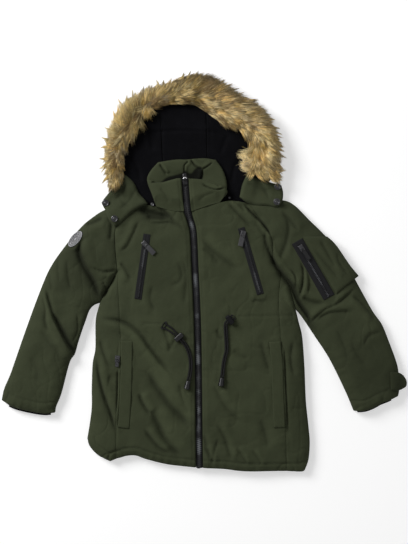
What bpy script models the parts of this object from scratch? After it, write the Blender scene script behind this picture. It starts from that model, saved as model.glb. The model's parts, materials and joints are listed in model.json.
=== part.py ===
"""A child's padded parka with a fur-trimmed hood, laid flat on its back and zipped up.

Metres, +Z up. The origin is on the ground plane, under the middle of the outline. +Y runs from the
hem towards the hood, and +X towards the wearer's left sleeve, so the names say right and left as the
wearer would.

The coat lies in layers. The back, the undersides of the sleeves and the hood shell lie on the ground.
The fronts and the upper halves of the sleeves lie on them, at full padded height, and roll down to
their seams and free edges. The hood's lining, the collar and the hood's flaps lie on top.
Each panel is a patch between four seam lines. Panels that meet share a seam line, half a gap each.
"""
import math

import bmesh
import bpy
import numpy as np
from mathutils import Matrix, Vector
from mathutils.bvhtree import BVHTree

MM = 0.001
GAP = 0.3 * MM            # between any two pieces that touch

# Heights of the layers above the ground.
BACK_TOP = 12.0 * MM      # padded back
UNDER_SLEEVE_TOP = 10.0 * MM
SHELL_TOP = 10.0 * MM     # hood shell
FULL = 28.0 * MM          # padded front on the padded back
LINING_TOP = 16.0 * MM    # fleece lining on the hood shell
COLLAR_BACK_TOP = 26.5 * MM
COLLAR_TOP = 38.0 * MM
BAND_TOP = 21.0 * MM      # main zip's band, between the fronts
COLLAR_BAND_TOP = 31.0 * MM
EDGE_TUCK = 4.0 * MM      # how far an underside draws in below a free edge
SETTLING = 150            # rounds that a panel's inner points settle for

# Zips.
BAND_WIDTH = 17.0 * MM
BAND_THICK = 1.2 * MM
MAIN_BAND_THICK = 2.0 * MM
TEETH_WIDTH = 5.6 * MM
TEETH_THICK = 2.2 * MM
SLIDER = (10.5 * MM, 15.0 * MM, 3.6 * MM)
BAR_RADIUS = 0.8 * MM
BAR_LIFT = 2.9 * MM       # bar's axis above the slider's top
BAR_FORWARD = 3.0 * MM    # bar's axis from the slider's middle, towards the pull
EYE_RADIUS = 2.3 * MM
EYE_HOLE = 1.3 * MM
EYE_WIDTH = 3.6 * MM
MOST_DROOP = math.radians(16.0)

# Trim.
WELT_THICK = 2.6 * MM
WELT_WIDTH = 27.0 * MM
WELT_TOP = -155.0 * MM
WELT_FOOT = -350.0 * MM
POCKET_THICK = 5.0 * MM
FLAP_THICK = 8.0 * MM
BADGE_THICK = 1.4 * MM
KNIT_REACH = 7.0 * MM
STRAND = 4.0 * MM         # drawcord's diameter
TOGGLE = (22.0 * MM, 11.0 * MM, 10.0 * MM)
TOGGLE_SLOT = (10.2 * MM, 5.4 * MM)
BELL_LENGTH = 19.0 * MM
BELL_NARROW = 4.9 * MM
BELL_WIDE = 6.8 * MM

CLOTH = ("olive_cloth", (0.036, 0.042, 0.021), 0.75, 0.0)
FLEECE = ("black_fleece", (0.006, 0.006, 0.007), 0.95, 0.0)
FUR = ("fur", (0.30, 0.22, 0.10), 0.90, 0.0)
BAND = ("zip_band", (0.012, 0.012, 0.014), 0.80, 0.0)
TEETH = ("zip_teeth", (0.020, 0.020, 0.024), 0.35, 0.0)
METAL = ("gunmetal", (0.30, 0.30, 0.32), 0.30, 1.0)
RUBBER = ("grey_rubber", (0.055, 0.055, 0.058), 0.60, 0.0)
PLASTIC = ("black_plastic", (0.010, 0.010, 0.011), 0.35, 0.0)
CORD = ("black_cord", (0.010, 0.010, 0.010), 0.80, 0.0)
BADGE = ("badge_rubber", (0.22, 0.22, 0.24), 0.55, 0.0)

# Seam lines and free edges: how many stretches the panels cut each into, and the points in
# millimetres that its smooth line runs through, from top to bottom or from right to left.
LINE_ROWS = {
    "neck_right": (10, [(-146, 154), (-124, 150), (-106, 146), (-88, 141), (-68, 136), (-43, 135)]),
    "neck_left": (10, [(-26, 135), (0, 144), (22, 151), (43, 156), (65, 159), (102, 154)]),
    "armhole_right": (8, [(-146, 154), (-178, 129), (-196, 98), (-198, 66), (-193, 0)]),
    "underarm_right": (4, [(-193, 0), (-205, -21), (-218, -44), (-233, -71)]),
    "armhole_left": (8, [(102, 154), (139, 102), (156, 69), (158, 21), (176, -6)]),
    "underarm_left": (4, [(176, -6), (191, -24), (199, -50), (209, -86)]),
    "side_right": (10, [(-233, -71), (-242, -109), (-243, -174), (-249, -206), (-251, -260),
                        (-251, -303), (-255, -339), (-261, -376)]),
    "corner_right": (4, [(-261, -376), (-256, -393), (-238, -413), (-210, -428)]),
    "side_left": (14, [(209, -86), (216, -114), (224, -148), (229, -215), (232, -289), (238, -348),
                       (241, -386), (238, -424), (230, -447)]),
    "princess_right": (14, [(-193, 0), (-187, -107), (-185, -163), (-187, -260), (-191, -334),
                            (-195, -368), (-195, -422)]),
    "princess_left": (14, [(176, -6), (170, -64), (175, -154), (180, -205), (182, -264),
                           (186, -366), (188, -450)]),
    "hem_side_right": (4, [(-210, -428), (-195, -422)]),
    "hem_right": (10, [(-195, -422), (-169, -415), (-150, -415), (-128, -423), (-78, -435),
                       (-17, -442)]),
    "hem_left": (10, [(0, -443), (49, -445), (94, -450), (188, -450)]),
    "hem_side_left": (4, [(188, -450), (221, -451), (230, -447)]),
    "zip_line": (22, [(-35, 135), (-23, 95), (-20, 56), (-18, 7), (-15, -54), (-12, -132),
                      (-10, -262), (-9, -363), (-8, -442)]),
    "sleeve_right_outer": (18, [(-146, 154), (-187, 150), (-224, 138), (-252, 120), (-277, 98),
                                (-313, 55), (-346, 6), (-371, -53), (-400, -132), (-425, -204),
                                (-436, -235), (-449, -265), (-454, -289)]),
    "sleeve_right_inner": (18, [(-233, -71), (-246, -76), (-257, -88), (-265, -110), (-273, -132),
                                (-283, -163), (-290, -187), (-302, -207), (-320, -275),
                                (-332, -305), (-334, -318)]),
    "cuff_right": (12, [(-454, -289), (-433, -303), (-405, -312), (-361, -320), (-334, -318)]),
    "sleeve_left_outer": (20, [(102, 154), (140, 159), (180, 161), (207, 149), (240, 116),
                               (267, 90), (297, 57), (328, 13), (344, -19), (374, -74),
                               (385, -93), (404, -120), (418, -154), (435, -200), (441, -226),
                               (443, -262), (440, -280)]),
    "sleeve_left_inner": (20, [(209, -86), (222, -101), (251, -144), (286, -198), (322, -271),
                               (340, -314)]),
    "cuff_left": (12, [(440, -280), (418, -291), (400, -298), (384, -307), (363, -314),
                       (340, -314)]),
}

# How the fronts and upper sleeves roll down: the line, the height left at it, and the reach.
ROLL_ROWS = [
    ("armhole_right", 20.0, 30.0), ("underarm_right", 19.0, 30.0), ("side_right", 14.5, 40.0),
    ("armhole_left", 20.0, 30.0), ("underarm_left", 19.0, 30.0), ("side_left", 14.5, 40.0),
    ("corner_right", 15.0, 34.0), ("hem_side_right", 17.0, 26.0), ("hem_right", 17.0, 26.0),
    ("hem_left", 17.0, 26.0), ("hem_side_left", 17.0, 26.0),
    ("zip_right", 22.5, 14.0), ("zip_left", 22.5, 14.0),
    ("neck_right", 25.0, 22.0), ("neck_left", 25.0, 22.0),
    ("sleeve_right_outer", 13.0, 38.0), ("sleeve_right_inner", 13.0, 32.0),
    ("cuff_right", 19.0, 14.0),
    ("sleeve_left_outer", 13.0, 38.0), ("sleeve_left_inner", 13.0, 32.0),
    ("cuff_left", 19.0, 14.0),
]

# Hood opening, clockwise from the wearer's right chin: the fur's inner and outer edge (mm).
HOOD_ROWS = [
    # inner x, inner y, outer x, outer y
    (-186, 210, -217, 182), (-181, 233, -223, 224), (-181, 269, -223, 269), (-169, 300, -217, 309),
    (-146, 332, -203, 354), (-122, 361, -173, 395), (-90, 375, -128, 422), (-61, 380, -74, 437),
    (-29, 379, -20, 446), (0, 363, 32, 436), (29, 343, 83, 408), (63, 330, 126, 377),
    (97, 314, 158, 332), (114, 287, 176, 287), (106, 260, 182, 244), (99, 224, 187, 203),
]
SHELL_REACH = 0.66        # of the way from the fur's inner edge to its outer edge
LINING_REACH = 0.22

# Fur's cross-section: place across it, height above the ground where it lies (mm).
FUR_ROWS = [
    (0.26, 16.6), (0.02, 17.0), (-0.02, 24.0), (0.06, 34.0), (0.22, 42.0), (0.45, 45.0),
    (0.68, 40.0), (0.88, 28.0), (1.00, 12.0), (0.98, 3.0), (0.90, 1.0), (0.72, 1.0), (0.72, 10.6),
    (0.26, 10.6),
]

# Edges of the pieces that lie on the coat, in millimetres: left, right, top and bottom.
COLLAR_BACK_ROWS = (
    [(-101, 246), (-117, 228), (-126, 210), (-122, 190), (-110, 162)],
    [(29, 251), (45, 228), (54, 197), (50, 172), (38, 163)],
    [(-101, 246), (-61, 252), (-38, 252), (2, 255), (29, 251)],
    [(-110, 162), (-68, 146), (-35, 145), (0, 152), (38, 163)],
)
FLAP_RIGHT_ROWS = (
    [(-179, 219), (-184, 204), (-202, 189), (-222, 166), (-229, 155)],
    [(-124, 152), (-158, 134), (-182, 111), (-198, 100)],
    [(-179, 219), (-171, 215), (-154, 198), (-145, 178), (-130, 161), (-124, 152)],
    [(-229, 155), (-223, 143), (-219, 137), (-212, 117), (-198, 100)],
)
FLAP_LEFT_ROWS = (
    [(98, 218), (88, 195), (82, 167)],
    [(177, 194), (181, 178), (179, 160), (172, 149)],
    [(98, 218), (132, 207), (177, 194)],
    [(82, 167), (100, 161), (145, 152), (164, 145), (172, 149)],
)
SLEEVE_POCKET_ROWS = (
    [(223, 79), (299, -51)],
    [(279, 79), (299, 60), (330, 15), (351, -10)],
    [(223, 79), (279, 79)],
    [(299, -51), (322, -31), (351, -10)],
)
CUFF_TAB_ROWS = (
    [(420, -226), (421, -266)],
    [(452, -234), (459, -246), (458, -259), (446, -266)],
    [(420, -226), (440, -227), (452, -234)],
    [(421, -266), (434, -268), (446, -266)],
)

# Collar's and zip's upper ends.
COLLAR_ZIP_ROWS = [(-40.5, 208), (-38, 172), (-34.5, 135)]
COLLAR_RIGHT_ROWS = ([(-124, 206), (-123, 197), (-110, 159)], [(-124, 206), (-96, 200), (-57, 209)])
COLLAR_LEFT_ROWS = ([(50, 190), (55, 177), (45, 164)], [(-4, 202), (16, 189), (35, 184), (50, 190)])
COLLAR_FOOT = (4, 5)      # where the collar's ends meet the two neck lines, in stretches

# Pocket zips: the band's two ends, its width at each end and the slider's place along it (mm).
ZIP_ROWS = [
    # name, top x, top y, foot x, foot y, top width, foot width, slider from the top
    ("chest_right", -125.5, 84, -146, -62, 16, 16, 22),
    ("chest_left", 85.5, 98, 129, -51, 16, 16, 14),
    ("sleeve", 211.0, 68.0, 283, -58, 26, 29, 19),
]

# Pull tabs: where the bar's axis is, the way the tab lies, and the tab's own sizes (mm).
PULL_ROWS = [
    # name, x, y, slider's foot, tip's rest, heading x, heading y, length, width, thickness, look
    ("chest_right", -127.6, 59.0, 29.8, 29.6, 8.7, -9.2, 27.0, 11.0, 2.6, RUBBER),
    ("chest_left", 89.0, 81.0, 29.8, 32.1, -2.3, -9.7, 25.0, 11.0, 2.6, RUBBER),
    ("sleeve", 222.5, 50.0, 29.8, 32.1, 7.8, -11.5, 28.0, 9.0, 2.6, RUBBER),
    ("pocket", -192.3, -199.0, 28.4, 28.1, -0.5, -10.0, 15.0, 8.0, 2.0, METAL),
    ("main", -40.3, 205.0, 31.4, 33.0, -0.6, 10.0, 15.0, 8.0, 2.0, METAL),
]

# Snaps and buttons: centre, radius, height (mm) and the pieces each stands on.
STUD_ROWS = [
    ("snap_right_upper", -219, 154, 7.6, 2.6, ("hood_flap_right",)),
    ("snap_right_lower", -198, 118, 7.6, 2.6, ("hood_flap_right",)),
    ("snap_left_upper", 168, 191, 7.6, 2.6, ("hood_flap_left",)),
    ("snap_left_lower", 165, 156, 7.6, 2.6, ("hood_flap_left",)),
    ("hood_button_right", -114, 151, 4.5, 3.0, ("hood_lining_right", "front_right")),
    ("hood_button_left", 60, 166, 3.4, 3.4, ("hood_lining_left",)),
]

# Drawcord pairs: the middle of the pair, its height, and half the spread of its strands (mm).
CORD_ROWS = {
    "right": [
        # x, y, z, half spread
        (-87.5, -121, 32.2, 5.0), (-73, -130, 31.8, 4.2), (-60.5, -140.5, 33.0, 2.5),
        (-54, -147, 33.4, 2.4), (-46, -156, 32.6, 2.4), (-37, -168.5, 30.6, 2.35),
        (-30, -187, 30.6, 2.35), (-27.3, -208, 30.6, 2.35), (-29, -228, 31.4, 2.35),
        (-32.5, -244, 33.3, 2.35),
    ],
    "left": [
        (67.0, -102.6, 34.6, 2.6), (60, -108, 35.0, 2.4), (53, -114, 34.0, 2.4),
        (50.5, -122, 31.6, 2.35), (51.5, -143, 30.6, 2.35), (52.7, -163, 30.6, 2.35),
        (52.8, -177, 30.6, 2.35), (49.7, -189.5, 30.6, 2.35), (46, -207.5, 30.6, 2.35),
        (44, -226, 31.4, 2.35), (42.5, -237, 33.3, 2.35),
    ],
}
# Cord locks: centre, height of the middle, and the way the cord runs through (mm).
TOGGLE_ROWS = {"right": (-54, -147, 33.4, 0.66, -0.75), "left": (60, -108, 35.0, -0.79, -0.62)}
STRAND_STRETCHES = 15


# ---------------------------------------------------------------- lines in plan

def through(rows, stretches):
    """Catmull-Rom line through the rows, cut into equal stretches; returns points in metres."""
    knots = np.array(rows, dtype=float) * MM
    padded = np.vstack([2 * knots[0] - knots[1], knots, 2 * knots[-1] - knots[-2]])
    dense = []
    for a, b, c, d in zip(padded, padded[1:], padded[2:], padded[3:]):
        for t in np.linspace(0.0, 1.0, 24, endpoint=False):
            dense.append(0.5 * (2 * b + (c - a) * t + (2 * a - 5 * b + 4 * c - d) * t ** 2
                                + (3 * b - a - 3 * c + d) * t ** 3))
    dense.append(knots[-1])
    return resample(np.array(dense), stretches)


def resample(points, stretches):
    """The same line, cut into equal stretches."""
    steps = np.linalg.norm(np.diff(points, axis=0), axis=1)
    along = np.concatenate([[0.0], np.cumsum(steps)])
    wanted = np.linspace(0.0, along[-1], stretches + 1)
    columns = [np.interp(wanted, along, points[:, k]) for k in range(points.shape[1])]
    return np.column_stack(columns)


def join(*lines):
    """Lines end to end, with the shared points once."""
    parts = [lines[0]] + [line[1:] for line in lines[1:]]
    return np.vstack(parts)


def beside(line, distance):
    """A line moved sideways, to the left of its direction where distance is positive."""
    heading = np.gradient(line, axis=0)
    heading /= np.linalg.norm(heading, axis=1)[:, None]
    normal = np.column_stack([-heading[:, 1], heading[:, 0]])
    return line + distance * normal


def distance_to(line, x, y):
    """Shortest distance in plan from each point to the line."""
    point = np.stack([x, y], axis=-1)[..., None, :]
    start = line[:-1]
    run = line[1:] - start
    share = np.clip(((point - start) * run).sum(-1) / (run ** 2).sum(-1), 0.0, 1.0)
    return np.linalg.norm(point - (start + share[..., None] * run), axis=-1).min(-1)


LINES = {name: through(rows, stretches) for name, (stretches, rows) in LINE_ROWS.items()}
LINES["zip_right"] = beside(LINES["zip_line"], -BAND_WIDTH / 2)
LINES["zip_left"] = beside(LINES["zip_line"], BAND_WIDTH / 2)


# ---------------------------------------------------------------- heights

def rolled(x, y, full, rolls):
    """Full height, less a quarter-ellipse roll beside each line; the deepest roll wins."""
    drop = np.zeros_like(x)
    for line, low, reach in rolls:
        share = np.clip(distance_to(line, x, y) / reach, 0.0, 1.0)
        drop = np.maximum(drop, (full - low) * (1.0 - np.sqrt(1.0 - (1.0 - share) ** 2)))
    return full - drop


COAT_ROLLS = [(LINES[name], low * MM, reach * MM) for name, low, reach in ROLL_ROWS]


def coat_top(x, y):
    """Top of the fronts and the upper sleeves."""
    return rolled(x, y, FULL, COAT_ROLLS)


# ---------------------------------------------------------------- meshes and objects

MATERIALS = {}


def material(look):
    """Principled material of the given name, colour, roughness and metallic value."""
    name, colour, roughness, metallic = look
    if name not in MATERIALS:
        made = bpy.data.materials.new(name)
        made.use_nodes = True
        shader = made.node_tree.nodes["Principled BSDF"]
        shader.inputs["Base Color"].default_value = (*colour, 1.0)
        shader.inputs["Roughness"].default_value = roughness
        shader.inputs["Metallic"].default_value = metallic
        MATERIALS[name] = made
    return MATERIALS[name]


def collection(name):
    """A collection of the scene, made on first use."""
    if name not in bpy.data.collections:
        bpy.context.scene.collection.children.link(bpy.data.collections.new(name))
    return bpy.data.collections[name]


def place(obj, look, parent=None):
    """Put an object in the coat's collection with its material."""
    for other in list(obj.users_collection):
        other.objects.unlink(obj)
    collection("hooded_parka").objects.link(obj)
    obj.data.materials.clear()
    obj.data.materials.append(material(look))
    if parent is not None:
        obj.parent = parent
    return obj


def mesh_object(name, vertices, faces, look):
    """Closed mesh object with its faces turned outwards."""
    mesh = bpy.data.meshes.new(name)
    mesh.from_pydata([tuple(v) for v in vertices], [], faces)
    working = bmesh.new()
    working.from_mesh(mesh)
    bmesh.ops.recalc_face_normals(working, faces=working.faces)
    working.to_mesh(mesh)
    working.free()
    obj = bpy.data.objects.new(name, mesh)
    collection("hooded_parka").objects.link(obj)
    return place(obj, look)


def from_bmesh(name, working, look):
    """Object from a bmesh, shaded smooth except over sharp edges."""
    mesh = bpy.data.meshes.new(name)
    working.to_mesh(mesh)
    working.free()
    mesh.shade_smooth()
    mesh.set_sharp_from_angle(angle=math.radians(40))
    obj = bpy.data.objects.new(name, mesh)
    collection("hooded_parka").objects.link(obj)
    return place(obj, look)


def coons(left, right, top, bottom):
    """Coons patch between four lines that share their corners, as a grid of points in plan.

    Its inner points then settle by Winslow's rule, a mean of their neighbours with weights from
    the cells' own shape, which keeps cells from folding over.
    """
    def shares(one, other):
        lengths = []
        for line in (one, other):
            along = np.concatenate([[0.0], np.cumsum(np.linalg.norm(np.diff(line, axis=0), axis=1))])
            lengths.append(along / along[-1])
        return (lengths[0] + lengths[1]) / 2

    v = shares(left, right)[:, None, None]
    u = shares(top, bottom)[None, :, None]
    ruled = (1 - u) * left[:, None] + u * right[:, None] + (1 - v) * top[None] + v * bottom[None]
    corners = ((1 - u) * (1 - v) * top[0] + u * (1 - v) * top[-1]
               + (1 - u) * v * bottom[0] + u * v * bottom[-1])
    grid = ruled - corners
    for _ in range(SETTLING):
        west, east, north, south = grid[1:-1, :-2], grid[1:-1, 2:], grid[:-2, 1:-1], grid[2:, 1:-1]
        along = ((east - west) ** 2).sum(-1, keepdims=True)
        down = ((south - north) ** 2).sum(-1, keepdims=True)
        skew = ((east - west) * (south - north)).sum(-1, keepdims=True)
        twist = (grid[2:, 2:] - grid[2:, :-2] - grid[:-2, 2:] + grid[:-2, :-2]) / 2
        grid[1:-1, 1:-1] = (down * (east + west) + along * (north + south) - skew * twist) \
            / (2 * (along + down))
    return grid


def drawn_in(grid, distances):
    """Move a grid's border inwards by a distance for each side: left, right, top, bottom."""
    moved = grid.copy()
    turn = np.sign(np.cross(grid[0, -1] - grid[0, 0], grid[-1, 0] - grid[0, 0]))
    sides = (
        ((slice(None), 0), distances[0], -1), ((slice(None), -1), distances[1], 1),
        ((0, slice(None)), distances[2], 1), ((-1, slice(None)), distances[3], -1),
    )
    for where, distance, side in sides:
        line = grid[where]
        moved[where] += beside(line, side * turn * distance) - line
    return moved


def border_of(rows, columns):
    """Vertex numbers round the border of a grid."""
    last = (rows - 1) * columns
    return (list(range(columns - 1)) + [r * columns + columns - 1 for r in range(rows - 1)]
            + [last + c for c in range(columns - 1, 0, -1)]
            + [r * columns for r in range(rows - 1, 0, -1)])


def side_of_panel(grid, height):
    """Vertices, faces and border of one side of a panel.

    A height that is a number gives one flat face; a height function gives the grid's faces.
    """
    rows, columns = grid.shape[:2]
    plan = grid.reshape(-1, 2)
    border = border_of(rows, columns)
    if isinstance(height, float):
        corners = plan[border]
        points = np.column_stack([corners, np.full(len(corners), height)])
        return points, [tuple(range(len(corners)))], list(range(len(corners)))
    points = np.column_stack([plan, height(grid[..., 0], grid[..., 1]).reshape(-1)])
    faces = [
        (a, a + 1, a + columns + 1, a + columns)
        for r in range(rows - 1) for a in range(r * columns, (r + 1) * columns - 1)
    ]
    return points, faces, border


def patch_solid(name, grid, top, under, look, tuck=(0, 0, 0, 0)):
    """Closed solid over a grid in plan: a top, an underside and the wall between them.

    tuck draws the underside in below the left, right, top and bottom edge.
    """
    upper, upper_faces, upper_border = side_of_panel(drawn_in(grid, (GAP / 2,) * 4), top)
    lower, lower_faces, lower_border = side_of_panel(
        drawn_in(grid, [GAP / 2 + t for t in tuck]), under)
    count = len(upper)
    lower_border = [count + i for i in lower_border]
    faces = upper_faces + [tuple(count + i for i in reversed(face)) for face in lower_faces]
    for k, start in enumerate(upper_border):
        end = (k + 1) % len(upper_border)
        faces.append((upper_border[end], start, lower_border[k], lower_border[end]))
    return mesh_object(name, np.vstack([upper, lower]), faces, look)


def panel(name, edges, top, under, look=CLOTH, tuck=(0, 0, 0, 0)):
    """Padded panel between its left, right, top and bottom edges."""
    return patch_solid(name, coons(*edges), top, under, look, tuck)


def ground_under(names, spread, lowest):
    """Height function: the highest point of the named pieces within a distance in plan."""
    graph = bpy.context.evaluated_depsgraph_get()
    trees = [BVHTree.FromObject(bpy.data.objects[name], graph) for name in names]
    ring = [(0.0, 0.0)] + [
        (share * spread * math.cos(turn), share * spread * math.sin(turn))
        for share in (0.5, 1.0) for turn in np.arange(8) * math.pi / 4
    ]

    def height(x, y):
        found = np.full(x.shape, lowest)
        for place_in_grid in np.ndindex(x.shape):
            for dx, dy in ring:
                start = Vector((x[place_in_grid] + dx, y[place_in_grid] + dy, 0.2))
                for tree in trees:
                    hit = tree.ray_cast(start, Vector((0, 0, -1)))[0]
                    if hit is not None:
                        found[place_in_grid] = max(found[place_in_grid], hit.z)
        return found

    return height


def raised(height, amount):
    """A height function moved up."""
    return lambda x, y: height(x, y) + amount


# ---------------------------------------------------------------- body and sleeves

def body_and_sleeves():
    """Back, fronts, side fronts and the two halves of each sleeve."""
    line = LINES
    neck = np.vstack([line["neck_right"], line["neck_left"]])
    hem = np.vstack([line["hem_right"], line["hem_left"]])
    right_side = join(line["armhole_right"], line["underarm_right"], line["side_right"],
                      line["corner_right"])
    left_side = join(line["armhole_left"], line["underarm_left"], line["side_left"])
    hem_all = join(line["hem_side_right"], hem, line["hem_side_left"])
    neck_all = resample(neck, len(hem_all) - 1)
    panel("back_panel", (right_side, left_side, neck_all, hem_all), BACK_TOP, 0.0,
          tuck=(EDGE_TUCK, EDGE_TUCK, 0, EDGE_TUCK))

    zip_right, zip_left = line["zip_right"].copy(), line["zip_left"].copy()
    zip_right[0], zip_right[-1] = line["neck_right"][-1], line["hem_right"][-1]
    zip_left[0], zip_left[-1] = line["neck_left"][0], line["hem_left"][0]
    fronts = {
        "front_right": (join(line["armhole_right"], line["princess_right"]), zip_right,
                        line["neck_right"], line["hem_right"]),
        "front_left": (zip_left, join(line["armhole_left"], line["princess_left"]),
                       line["neck_left"], line["hem_left"]),
        "side_front_right": (join(line["side_right"], line["corner_right"]),
                             line["princess_right"], line["underarm_right"][::-1],
                             line["hem_side_right"]),
        "side_front_left": (line["princess_left"], line["side_left"], line["underarm_left"],
                            line["hem_side_left"]),
    }
    for name, edges in fronts.items():
        panel(name, edges, coat_top, BACK_TOP + GAP)

    for side in ("right", "left"):
        edges = (line[f"sleeve_{side}_outer"], line[f"sleeve_{side}_inner"],
                 join(line[f"armhole_{side}"], line[f"underarm_{side}"]), line[f"cuff_{side}"])
        panel(f"sleeve_{side}_under", edges, UNDER_SLEEVE_TOP, 0.0,
              tuck=(EDGE_TUCK, EDGE_TUCK, 0, EDGE_TUCK))
        panel(f"sleeve_{side}_upper", edges, coat_top, UNDER_SLEEVE_TOP + GAP)
        knit = beside(line[f"cuff_{side}"][2:-1], -GAP if side == "right" else GAP)
        reach = KNIT_REACH if side == "right" else KNIT_REACH / 2
        knit_end = beside(knit, -reach if side == "right" else reach)
        across = np.linspace(0.0, 1.0, 2)[:, None, None]
        grid = (1 - across) * knit[None] + across * knit_end[None]
        patch_solid(f"cuff_knit_{side}", grid, 15.0 * MM, 3.0 * MM, FLEECE)


# ---------------------------------------------------------------- hood and collar

def hood():
    """Hood shell, its three lining panels and the fur round the opening."""
    stations = np.array(HOOD_ROWS, dtype=float)
    inner, outer = stations[:, :2], stations[:, 2:]

    def at(share, first, last, stretches):
        return through(inner[first:last + 1] + share * (outer - inner)[first:last + 1], stretches)

    neck = np.vstack([LINES["neck_right"], LINES["neck_left"]])
    shell_left = np.vstack([at(SHELL_REACH, 0, 4, 12)[::-1], neck[0]])
    shell_right = np.vstack([at(SHELL_REACH, 11, 15, 12), neck[-1]])
    shell_top = at(SHELL_REACH, 4, 11, len(neck) - 1)
    panel("hood_shell", (shell_left, shell_right, shell_top, neck), SHELL_TOP, 0.0,
          tuck=(EDGE_TUCK, EDGE_TUCK, EDGE_TUCK, 0))

    seam_right = np.array([at(LINING_REACH, 0, 6, 12)[-1], neck[6]])
    seam_left = np.array([at(LINING_REACH, 9, 15, 12)[0], neck[14]])
    corner_right = neck[0] + np.array([4.0, 1.0]) * MM
    corner_left = neck[-1] + np.array([-4.0, 1.0]) * MM
    linings = {
        "hood_lining_right": (
            resample(np.vstack([at(LINING_REACH, 0, 3, 8)[::-1], corner_right]), 9),
            resample(seam_right, 9), at(LINING_REACH, 3, 6, 6),
            np.vstack([corner_right, neck[1:7]])),
        "hood_lining_centre": (
            resample(seam_right, 9), resample(seam_left, 9), at(LINING_REACH, 6, 9, 8),
            neck[6:15]),
        "hood_lining_left": (
            resample(seam_left, 9),
            resample(np.vstack([at(LINING_REACH, 12, 15, 8), corner_left]), 9),
            at(LINING_REACH, 9, 12, 7), np.vstack([neck[14:21], corner_left])),
    }
    for name, edges in linings.items():
        panel(name, edges, LINING_TOP, SHELL_TOP + GAP, FLEECE)

    stretches = 3 * (len(stations) - 1)
    inner_line, outer_line = through(inner, stretches), through(outer, stretches)
    profile = np.array(FUR_ROWS)
    vertices = [
        (*(a + share * (b - a)), height * MM)
        for a, b in zip(inner_line, outer_line) for share, height in profile
    ]
    points = len(profile)
    faces = [tuple(range(points)), tuple(range(len(vertices) - 1, len(vertices) - points - 1, -1))]
    for section in range(stretches):
        for k in range(points):
            a = section * points + k
            b = section * points + (k + 1) % points
            faces.append((b, a, a + points, b + points))
    mesh_object("fur_trim", vertices, faces, FUR)


def collar():
    """Collar: its back, standing inside the hood, and its two fronts beside the zip."""
    def edge(rows, stretches):
        return through(rows, stretches)

    left, right, top, bottom = COLLAR_BACK_ROWS
    panel("collar_back", (edge(left, 6), edge(right, 6), edge(top, 9), edge(bottom, 9)),
          COLLAR_BACK_TOP, LINING_TOP + GAP)

    neck_right = LINES["neck_right"][COLLAR_FOOT[0]:]
    neck_left = LINES["neck_left"][:COLLAR_FOOT[1] + 1]
    spine = through(COLLAR_ZIP_ROWS, 6)
    inner_right, inner_left = beside(spine, -BAND_WIDTH / 2), beside(spine, BAND_WIDTH / 2)
    inner_right[-1], inner_left[-1] = neck_right[-1], neck_left[0]
    side, top = COLLAR_RIGHT_ROWS
    outer_right = through(side + [tuple(neck_right[0] / MM)], 6)
    top_right = through(top + [tuple(inner_right[0] / MM)], len(neck_right) - 1)
    side, top = COLLAR_LEFT_ROWS
    outer_left = through(side + [tuple(neck_left[-1] / MM)], 6)
    top_left = through([tuple(inner_left[0] / MM)] + top, len(neck_left) - 1)

    rolls = [(outer_right, 32 * MM, 18 * MM), (outer_left, 32 * MM, 18 * MM),
             (top_right, 34 * MM, 12 * MM), (top_left, 34 * MM, 12 * MM),
             (neck_right, 31 * MM, 16 * MM), (neck_left, 31 * MM, 16 * MM),
             (inner_right, 33 * MM, 12 * MM), (inner_left, 33 * MM, 12 * MM)]

    def height(x, y):
        return rolled(x, y, COLLAR_TOP, rolls)

    under = COLLAR_BACK_TOP + GAP
    panel("collar_front_right", (outer_right, inner_right, top_right, neck_right), height, under)
    panel("collar_front_left", (inner_left, outer_left, top_left, neck_left), height, under)


def hood_flaps():
    """Hood's two lower front corners, turned outwards over the shoulders."""
    for side, rows in (("right", FLAP_RIGHT_ROWS), ("left", FLAP_LEFT_ROWS)):
        left, right, top, bottom = rows
        edges = (through(left, 8), through(right, 8), through(top, 8), through(bottom, 8))
        under = ground_under(
            [f"sleeve_{side}_upper", f"front_{side}", "hood_shell", f"hood_lining_{side}"],
            12 * MM, 12 * MM)
        panel(f"hood_flap_{side}", edges, raised(under, FLAP_THICK + 2 * GAP),
              raised(under, 2 * GAP))


# ---------------------------------------------------------------- pockets, badge and tab

def strip_grid(start, end, start_width, end_width, stretches=1):
    """Grid in plan of a straight strip, from its start to its end."""
    spine = resample(np.array([start, end], dtype=float), stretches)
    run = (spine[-1] - spine[0]) / np.linalg.norm(spine[-1] - spine[0])
    normal = np.array([run[1], -run[0]])
    widths = np.linspace(start_width, end_width, stretches + 1)[:, None]
    return np.stack([spine - normal * widths / 2, spine + normal * widths / 2], axis=1)


def welts():
    """Pocket welts along the side front seams."""
    for side, inward in (("right", 1), ("left", -1)):
        seam = LINES[f"princess_{side}"]
        rows = resample(seam[(seam[:, 1] < WELT_TOP) & (seam[:, 1] > WELT_FOOT)], 6)
        grid = np.stack([beside(rows, inward * 1.0 * MM), beside(rows, inward * WELT_WIDTH)],
                        axis=1)
        patch_solid(f"pocket_welt_{side}", grid, FULL + GAP + WELT_THICK,
                    FULL + GAP, CLOTH)


def sleeve_pocket():
    """Panel of the pocket on the left sleeve, beside its zip."""
    left, right, top, bottom = SLEEVE_POCKET_ROWS
    edges = (through(left, 14), through(right, 14), through(top, 8), through(bottom, 8))
    under = ground_under(["sleeve_left_upper"], 9 * MM, 13.5 * MM)
    panel("sleeve_pocket", edges, raised(under, POCKET_THICK), raised(under, GAP))


def cuff_tab():
    """End of the left cuff's tab, standing out past the sleeve."""
    left, right, top, bottom = CUFF_TAB_ROWS
    edges = (through(left, 4), through(right, 4), through(top, 4), through(bottom, 4))
    under = ground_under(["sleeve_left_upper"], 9 * MM, 13.5 * MM)
    panel("cuff_tab_left", edges, raised(under, 4 * MM), raised(under, GAP))


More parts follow.
